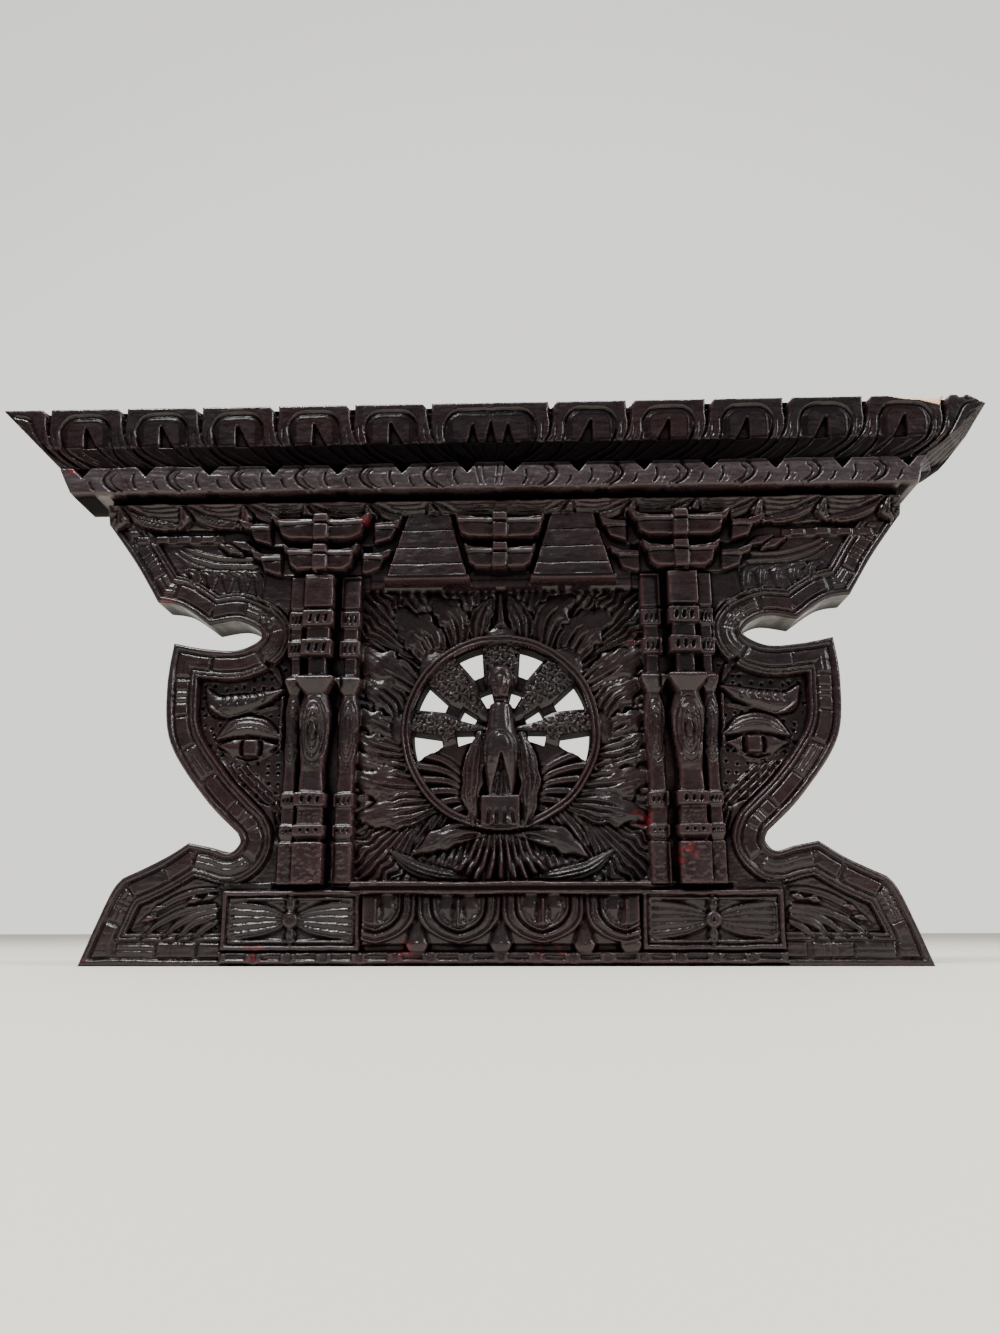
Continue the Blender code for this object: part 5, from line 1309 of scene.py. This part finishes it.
def mesh_piece(name, board, cells, ridge, deep):
    """A closed mesh: the cells' front, walls along their border and a flat back."""
    rows, columns = np.nonzero(cells)
    across = board.x.shape[1]
    corner = rows * across + columns
    quads = np.stack([corner, corner + 1, corner + across + 1, corner + across], axis=1)
    used, local = np.unique(quads, return_inverse=True)
    quads = local.reshape(-1, 4)
    starts = quads.reshape(-1)
    stops = np.roll(quads, -1, axis=1).reshape(-1)
    keys = starts * len(used) + stops
    border = ~np.isin(keys, stops * len(used) + starts)
    starts, stops = starts[border], stops[border]
    rim, place = np.unique(np.concatenate([starts, stops]), return_inverse=True)
    rim_starts, rim_stops = place[: len(starts)], place[len(starts) :]
    low, back = len(used), len(used) + len(rim)
    walls = np.concatenate([
        np.stack([stops, starts, rim_starts + low, rim_stops + low], axis=1),
        np.stack([rim_stops + low, rim_starts + low, rim_starts + back, rim_stops + back], axis=1),
    ])
    x, z = board.x.ravel()[used], board.z.ravel()[used]
    front = np.stack([x * MM, -board.height.ravel()[used] * MM, z * MM + UNDERSIDE], axis=1)
    rings = [front[rim] * (1, 0, 1) - (0, depth * MM, 0) for depth in (BACK_EDGE, 0.0)]
    flat = flat_back(x[rim], z[rim], rim_starts, rim_stops)
    points = np.concatenate([front, *rings])
    faces = quads.tolist() + walls.tolist() + [[i + back for i in face] for face in flat]
    mesh = bpy.data.meshes.new(name)
    mesh.from_pydata(points.tolist(), [], faces)
    mesh.update()
    mesh.shade_smooth()
    edges = np.zeros(2 * len(mesh.edges), int)
    mesh.edges.foreach_get("vertices", edges)
    edges = edges.reshape(-1, 2)
    sharp = np.isin(edges, rim).all(axis=1) | (edges >= back).all(axis=1)
    mesh.attributes.new("sharp_edge", "BOOLEAN", "EDGE").data.foreach_set("value", sharp)
    looks = {"ridge": ridge, "raw": board.raw, "red": board.red, "dust": board.dust, "deep": deep}
    for label, values in looks.items():
        data = np.zeros(len(points), np.float32)
        data[:low] = values.ravel()[used]
        if label == "deep":
            # The sides: a duller sawn finish with painted shade, and full painted shade on the openings'
            # sides.
            data[low:back] = np.maximum(SAWN_AND_SHADED, board.pierced.ravel()[used][rim])
        mesh.attributes.new(label, "FLOAT", "POINT").data.foreach_set("value", data)
    piece = bpy.data.objects.new(name, mesh)
    bpy.context.scene.collection.objects.link(piece)
    return piece


def flat_back(x, z, starts, stops):
    """Triangles over the back, inside the border's loops, facing away from the front."""
    spots = [Vector((float(a), float(b))) for a, b in zip(x, z)]
    edges = [(int(a), int(b)) for a, b in zip(starts, stops)]
    found = geometry.delaunay_2d_cdt(spots, edges, [], 0, 1e-6)
    corners, faces, sources = found[0], found[2], found[3]
    points = np.array([[p.x, p.y] for p in corners])
    triangles = np.array(faces)
    middle_x, middle_z = points[triangles].mean(axis=1).T
    sides = [((x[a], z[a]), (x[b], z[b])) for a, b in edges]
    kept = []
    for triangle in triangles[enclosed(middle_x, middle_z, sides)]:
        (ax, az), (bx, bz), (cx, cz) = points[triangle]
        turned = (bx - ax) * (cz - az) - (bz - az) * (cx - ax)
        if abs(turned) < 1e-9 or not all(sources[i] for i in triangle):
            continue
        own = [sources[i][0] for i in triangle]
        kept.append(own[::-1] if turned > 0 else own)
    return kept


def split(board):
    """The kept cells of each of the six pieces."""
    x = board.left + board.step_x * (np.arange(board.cells.shape[1]) + 0.5)[None, :]
    z = board.step_z * (np.arange(board.cells.shape[0]) + 0.5)[:, None]
    x, z = np.broadcast_arrays(x, z)
    out = np.abs(x)
    seam = np.where(out < SEAM_SIDE, SEAM_WINDOW, np.where(out < SEAM_BRACKETS, SEAM_POSTS, SEAM_TIER))
    masks = {
        "cornice": z > SEAM_CORNICE,
        "bracket_frieze": (z < SEAM_CORNICE) & (z > seam),
        "window_field": (z < seam) & (z > SEAM_PLINTH) & (out < SEAM_SIDE),
        "left_wing": (z < seam) & (z > SEAM_PLINTH) & (x < -SEAM_SIDE),
        "right_wing": (z < seam) & (z > SEAM_PLINTH) & (x > SEAM_SIDE),
        "plinth": z < SEAM_PLINTH,
    }
    return {name: mask & board.cells for name, mask in masks.items()}


def node(tree, kind, **values):
    """A node whose named inputs, or else own settings, have these values."""
    made = tree.nodes.new(kind)
    for name, value in values.items():
        if name in made.inputs:
            made.inputs[name].default_value = value
        else:
            setattr(made, name, value)
    return made


def map_range(tree, value, low, high, first, second, kind="LINEAR"):
    """Turns low to high of a value into first to second, and holds it there beyond them."""
    made = node(tree, "ShaderNodeMapRange", interpolation_type=kind)
    for name, number in (("From Min", low), ("From Max", high), ("To Min", first), ("To Max", second)):
        made.inputs[name].default_value = number
    tree.links.new(value, made.inputs["Value"])
    return made.outputs[0]


def lacquered_wood():
    """Near-black red-brown lacquer over hand-cut wood: redder where thin, raw where broken, greyed by dust
    and painted sheen, near black in painted shade.
    """
    material = bpy.data.materials.new("lacquered_wood")
    material.use_nodes = True
    tree = material.node_tree
    link = tree.links.new
    shader = tree.nodes["Principled BSDF"]
    shader.inputs["Coat Roughness"].default_value = 0.18
    place = tree.nodes.new("ShaderNodeTexCoord").outputs["Object"]

    def texture(scale, detail, stretch=(1, 1, 1), rough=0.6):
        mapping = node(tree, "ShaderNodeMapping", Scale=stretch)
        link(place, mapping.inputs["Vector"])
        made = node(tree, "ShaderNodeTexNoise", Scale=scale, Detail=detail, Roughness=rough)
        link(mapping.outputs[0], made.inputs["Vector"])
        return made.outputs["Fac"]

    spread = partial(map_range, tree, kind="SMOOTHSTEP")

    def mixed(factor, first, second):
        made = node(tree, "ShaderNodeMix", data_type="RGBA")
        link(factor, made.inputs[0])
        for socket, value in ((made.inputs[6], first), (made.inputs[7], second)):
            if isinstance(value, tuple):
                socket.default_value = (*value, 1.0)
            else:
                link(value, socket)
        return made.outputs[2]

    def attribute(name):
        return node(tree, "ShaderNodeAttribute", attribute_name=name).outputs["Fac"]

    patches = texture(26.0, 3.0)
    grain = texture(420.0, 4.0, (0.14, 1, 1))
    pits = texture(900.0, 3.0)
    colour = mixed(spread(patches, 0.35, 0.65, 0, 1), (0.0100, 0.0062, 0.0078), (0.0190, 0.0068, 0.0085))
    colour = mixed(spread(grain, 0.45, 0.75, 0, 0.5), colour, (0.030, 0.015, 0.017))
    colour = mixed(spread(attribute("ridge"), 0.25, 1.3, 0, 0.6), colour, (0.045, 0.020, 0.022))
    # Greyer where dust and painted sheen lie on the band.
    colour = mixed(spread(attribute("dust"), 0.1, 1.0, 0, 0.6), colour, (0.068, 0.054, 0.060))
    colour = mixed(spread(attribute("red"), 0.25, 1.0, 0, 0.9), colour, (0.120, 0.010, 0.016))
    # Painted shade: near black in the recesses, the openings, the petals' rings and lower slopes, and on the
    # sides.
    colour = mixed(spread(attribute("deep"), 0.1, 0.8, 0, 0.9), colour, (0.0025, 0.0018, 0.0022))
    raw_colour = mixed(spread(grain, 0.35, 0.65, 0, 1), (0.62, 0.34, 0.17), (0.86, 0.60, 0.38))
    raw = attribute("raw")
    link(mixed(spread(raw, 0.3, 0.7, 0, 1), colour, raw_colour), shader.inputs["Base Color"])
    deep = attribute("deep")
    gloss = spread(texture(150.0, 3.0), 0.3, 0.7, 0.20, 0.38)
    for dull in (spread(raw, 0.3, 0.7, 0, 0.75), spread(deep, 0.1, 0.8, 0, 0.65)):
        worn = node(tree, "ShaderNodeMath", operation="MAXIMUM")
        link(gloss, worn.inputs[0])
        link(dull, worn.inputs[1])
        gloss = worn.outputs[0]
    link(gloss, shader.inputs["Roughness"])
    # Painted shade also takes the reflection and the coat away there.
    link(spread(deep, 0.0, 0.7, SHEEN, 0.03), shader.inputs["Specular IOR Level"])
    link(spread(deep, 0.0, 0.5, COAT, 0.0), shader.inputs["Coat Weight"])
    fine = node(tree, "ShaderNodeBump", Strength=0.5, Distance=0.0003)
    link(pits, fine.inputs["Height"])
    lines = node(tree, "ShaderNodeBump", Strength=0.45, Distance=0.0004)
    link(grain, lines.inputs["Height"])
    link(fine.outputs[0], lines.inputs["Normal"])
    link(lines.outputs[0], shader.inputs["Normal"])
    return material


def stage():
    """The pale floor."""
    floor_mesh = bpy.data.meshes.new("floor")
    corners = between(-FLOOR_REACH, FLOOR_REACH, FLOOR_FRONT, FLOOR_REACH)
    floor_mesh.from_pydata([(x, y, UNDERSIDE) for x, y in corners], [], [(0, 1, 2, 3)])
    floor = bpy.data.objects.new("floor", floor_mesh)
    bpy.context.scene.collection.objects.link(floor)
    pale = bpy.data.materials.new("pale_floor")
    pale.use_nodes = True
    shader = pale.node_tree.nodes["Principled BSDF"]
    shader.inputs["Base Color"].default_value = (0.84, 0.79, 0.69, 1.0)
    shader.inputs["Roughness"].default_value = 0.75
    floor_mesh.materials.append(pale)


def sky():
    """A pale room: bright behind the panel, dimmer where the panel faces and darkest low in front."""
    world = bpy.data.worlds.new("room")
    bpy.context.scene.world = world
    world.use_nodes = True
    tree = world.node_tree
    background = tree.nodes["Background"]
    direction = tree.nodes.new("ShaderNodeTexCoord").outputs["Generated"]
    parts = tree.nodes.new("ShaderNodeSeparateXYZ")
    tree.links.new(direction, parts.inputs[0])

    strength = node(tree, "ShaderNodeMath", operation="MAXIMUM")
    tree.links.new(map_range(tree, parts.outputs["Y"], -0.2, 0.75, 0.0, 1.35), strength.inputs[0])
    tree.links.new(map_range(tree, parts.outputs["Z"], -0.1, 0.45, 0.02, 0.42), strength.inputs[1])
    background.inputs["Color"].default_value = (1.0, 0.99, 0.955, 1.0)
    tree.links.new(strength.outputs[0], background.inputs["Strength"])


def light(name, spot, size, power):
    """A soft lamp that faces the panel's middle."""
    data = bpy.data.lights.new(name, "AREA")
    data.shape = "RECTANGLE"
    data.size, data.size_y = size
    data.energy = power
    lamp = bpy.data.objects.new(name, data)
    bpy.context.scene.collection.objects.link(lamp)
    lamp.location = spot
    towards = Vector((0.0, 0.0, UNDERSIDE + PANEL_HEIGHT * MM / 2)) - lamp.location
    lamp.rotation_euler = towards.to_track_quat("-Z", "Y").to_euler()


def camera():
    """The photograph's viewing angle."""
    data = bpy.data.cameras.new("camera")
    data.sensor_fit = "HORIZONTAL"
    data.sensor_width = 36.0
    data.lens = data.sensor_width * CAMERA_FOCUS
    data.clip_start = 0.01
    view = bpy.data.objects.new("camera", data)
    bpy.context.scene.collection.objects.link(view)
    turn = (Matrix.Rotation(radians(CAMERA_ROLL), 3, "Z") @ Matrix.Rotation(radians(CAMERA_YAW), 3, "Y")
            @ Matrix.Rotation(radians(CAMERA_PITCH), 3, "X"))
    # The rows are the camera's right, down and forward directions, in right, down and away.
    right, down, ahead = (Vector((row[0], row[2], -row[1])) for row in turn)
    view.matrix_world = Matrix((right, -down, -ahead)).transposed().to_4x4()
    x, front, z = CAMERA_SPOT
    view.location = (x * MM, -front * MM, UNDERSIDE + z * MM)
    bpy.context.scene.camera = view


OUTLINE = panel_outline()


def main():
    board = Board(CORNICE_LEFT, CORNICE_RIGHT, OUTLINE, fan_openings())
    wings(board)
    tier(board)
    cornice(board)
    brackets(board)
    plinth(board)
    window(board)
    posts(board)
    finish_surface(board)
    ridge = board.height - blurred(board.height, NARROW_BLUR)
    # Painted shade for the recesses, the openings' edges, the petals' rings and their lower slopes.
    deep = recesses(board)
    wood = lacquered_wood()
    for name, cells in split(board).items():
        piece = mesh_piece(name, board, cells, ridge, deep)
        piece.data.materials.append(wood)
        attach(piece, "root")
        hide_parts("carved_panel")
    stage()
    sky()
    for lamp in LAMPS:
        light(*lamp)
    camera()


main()
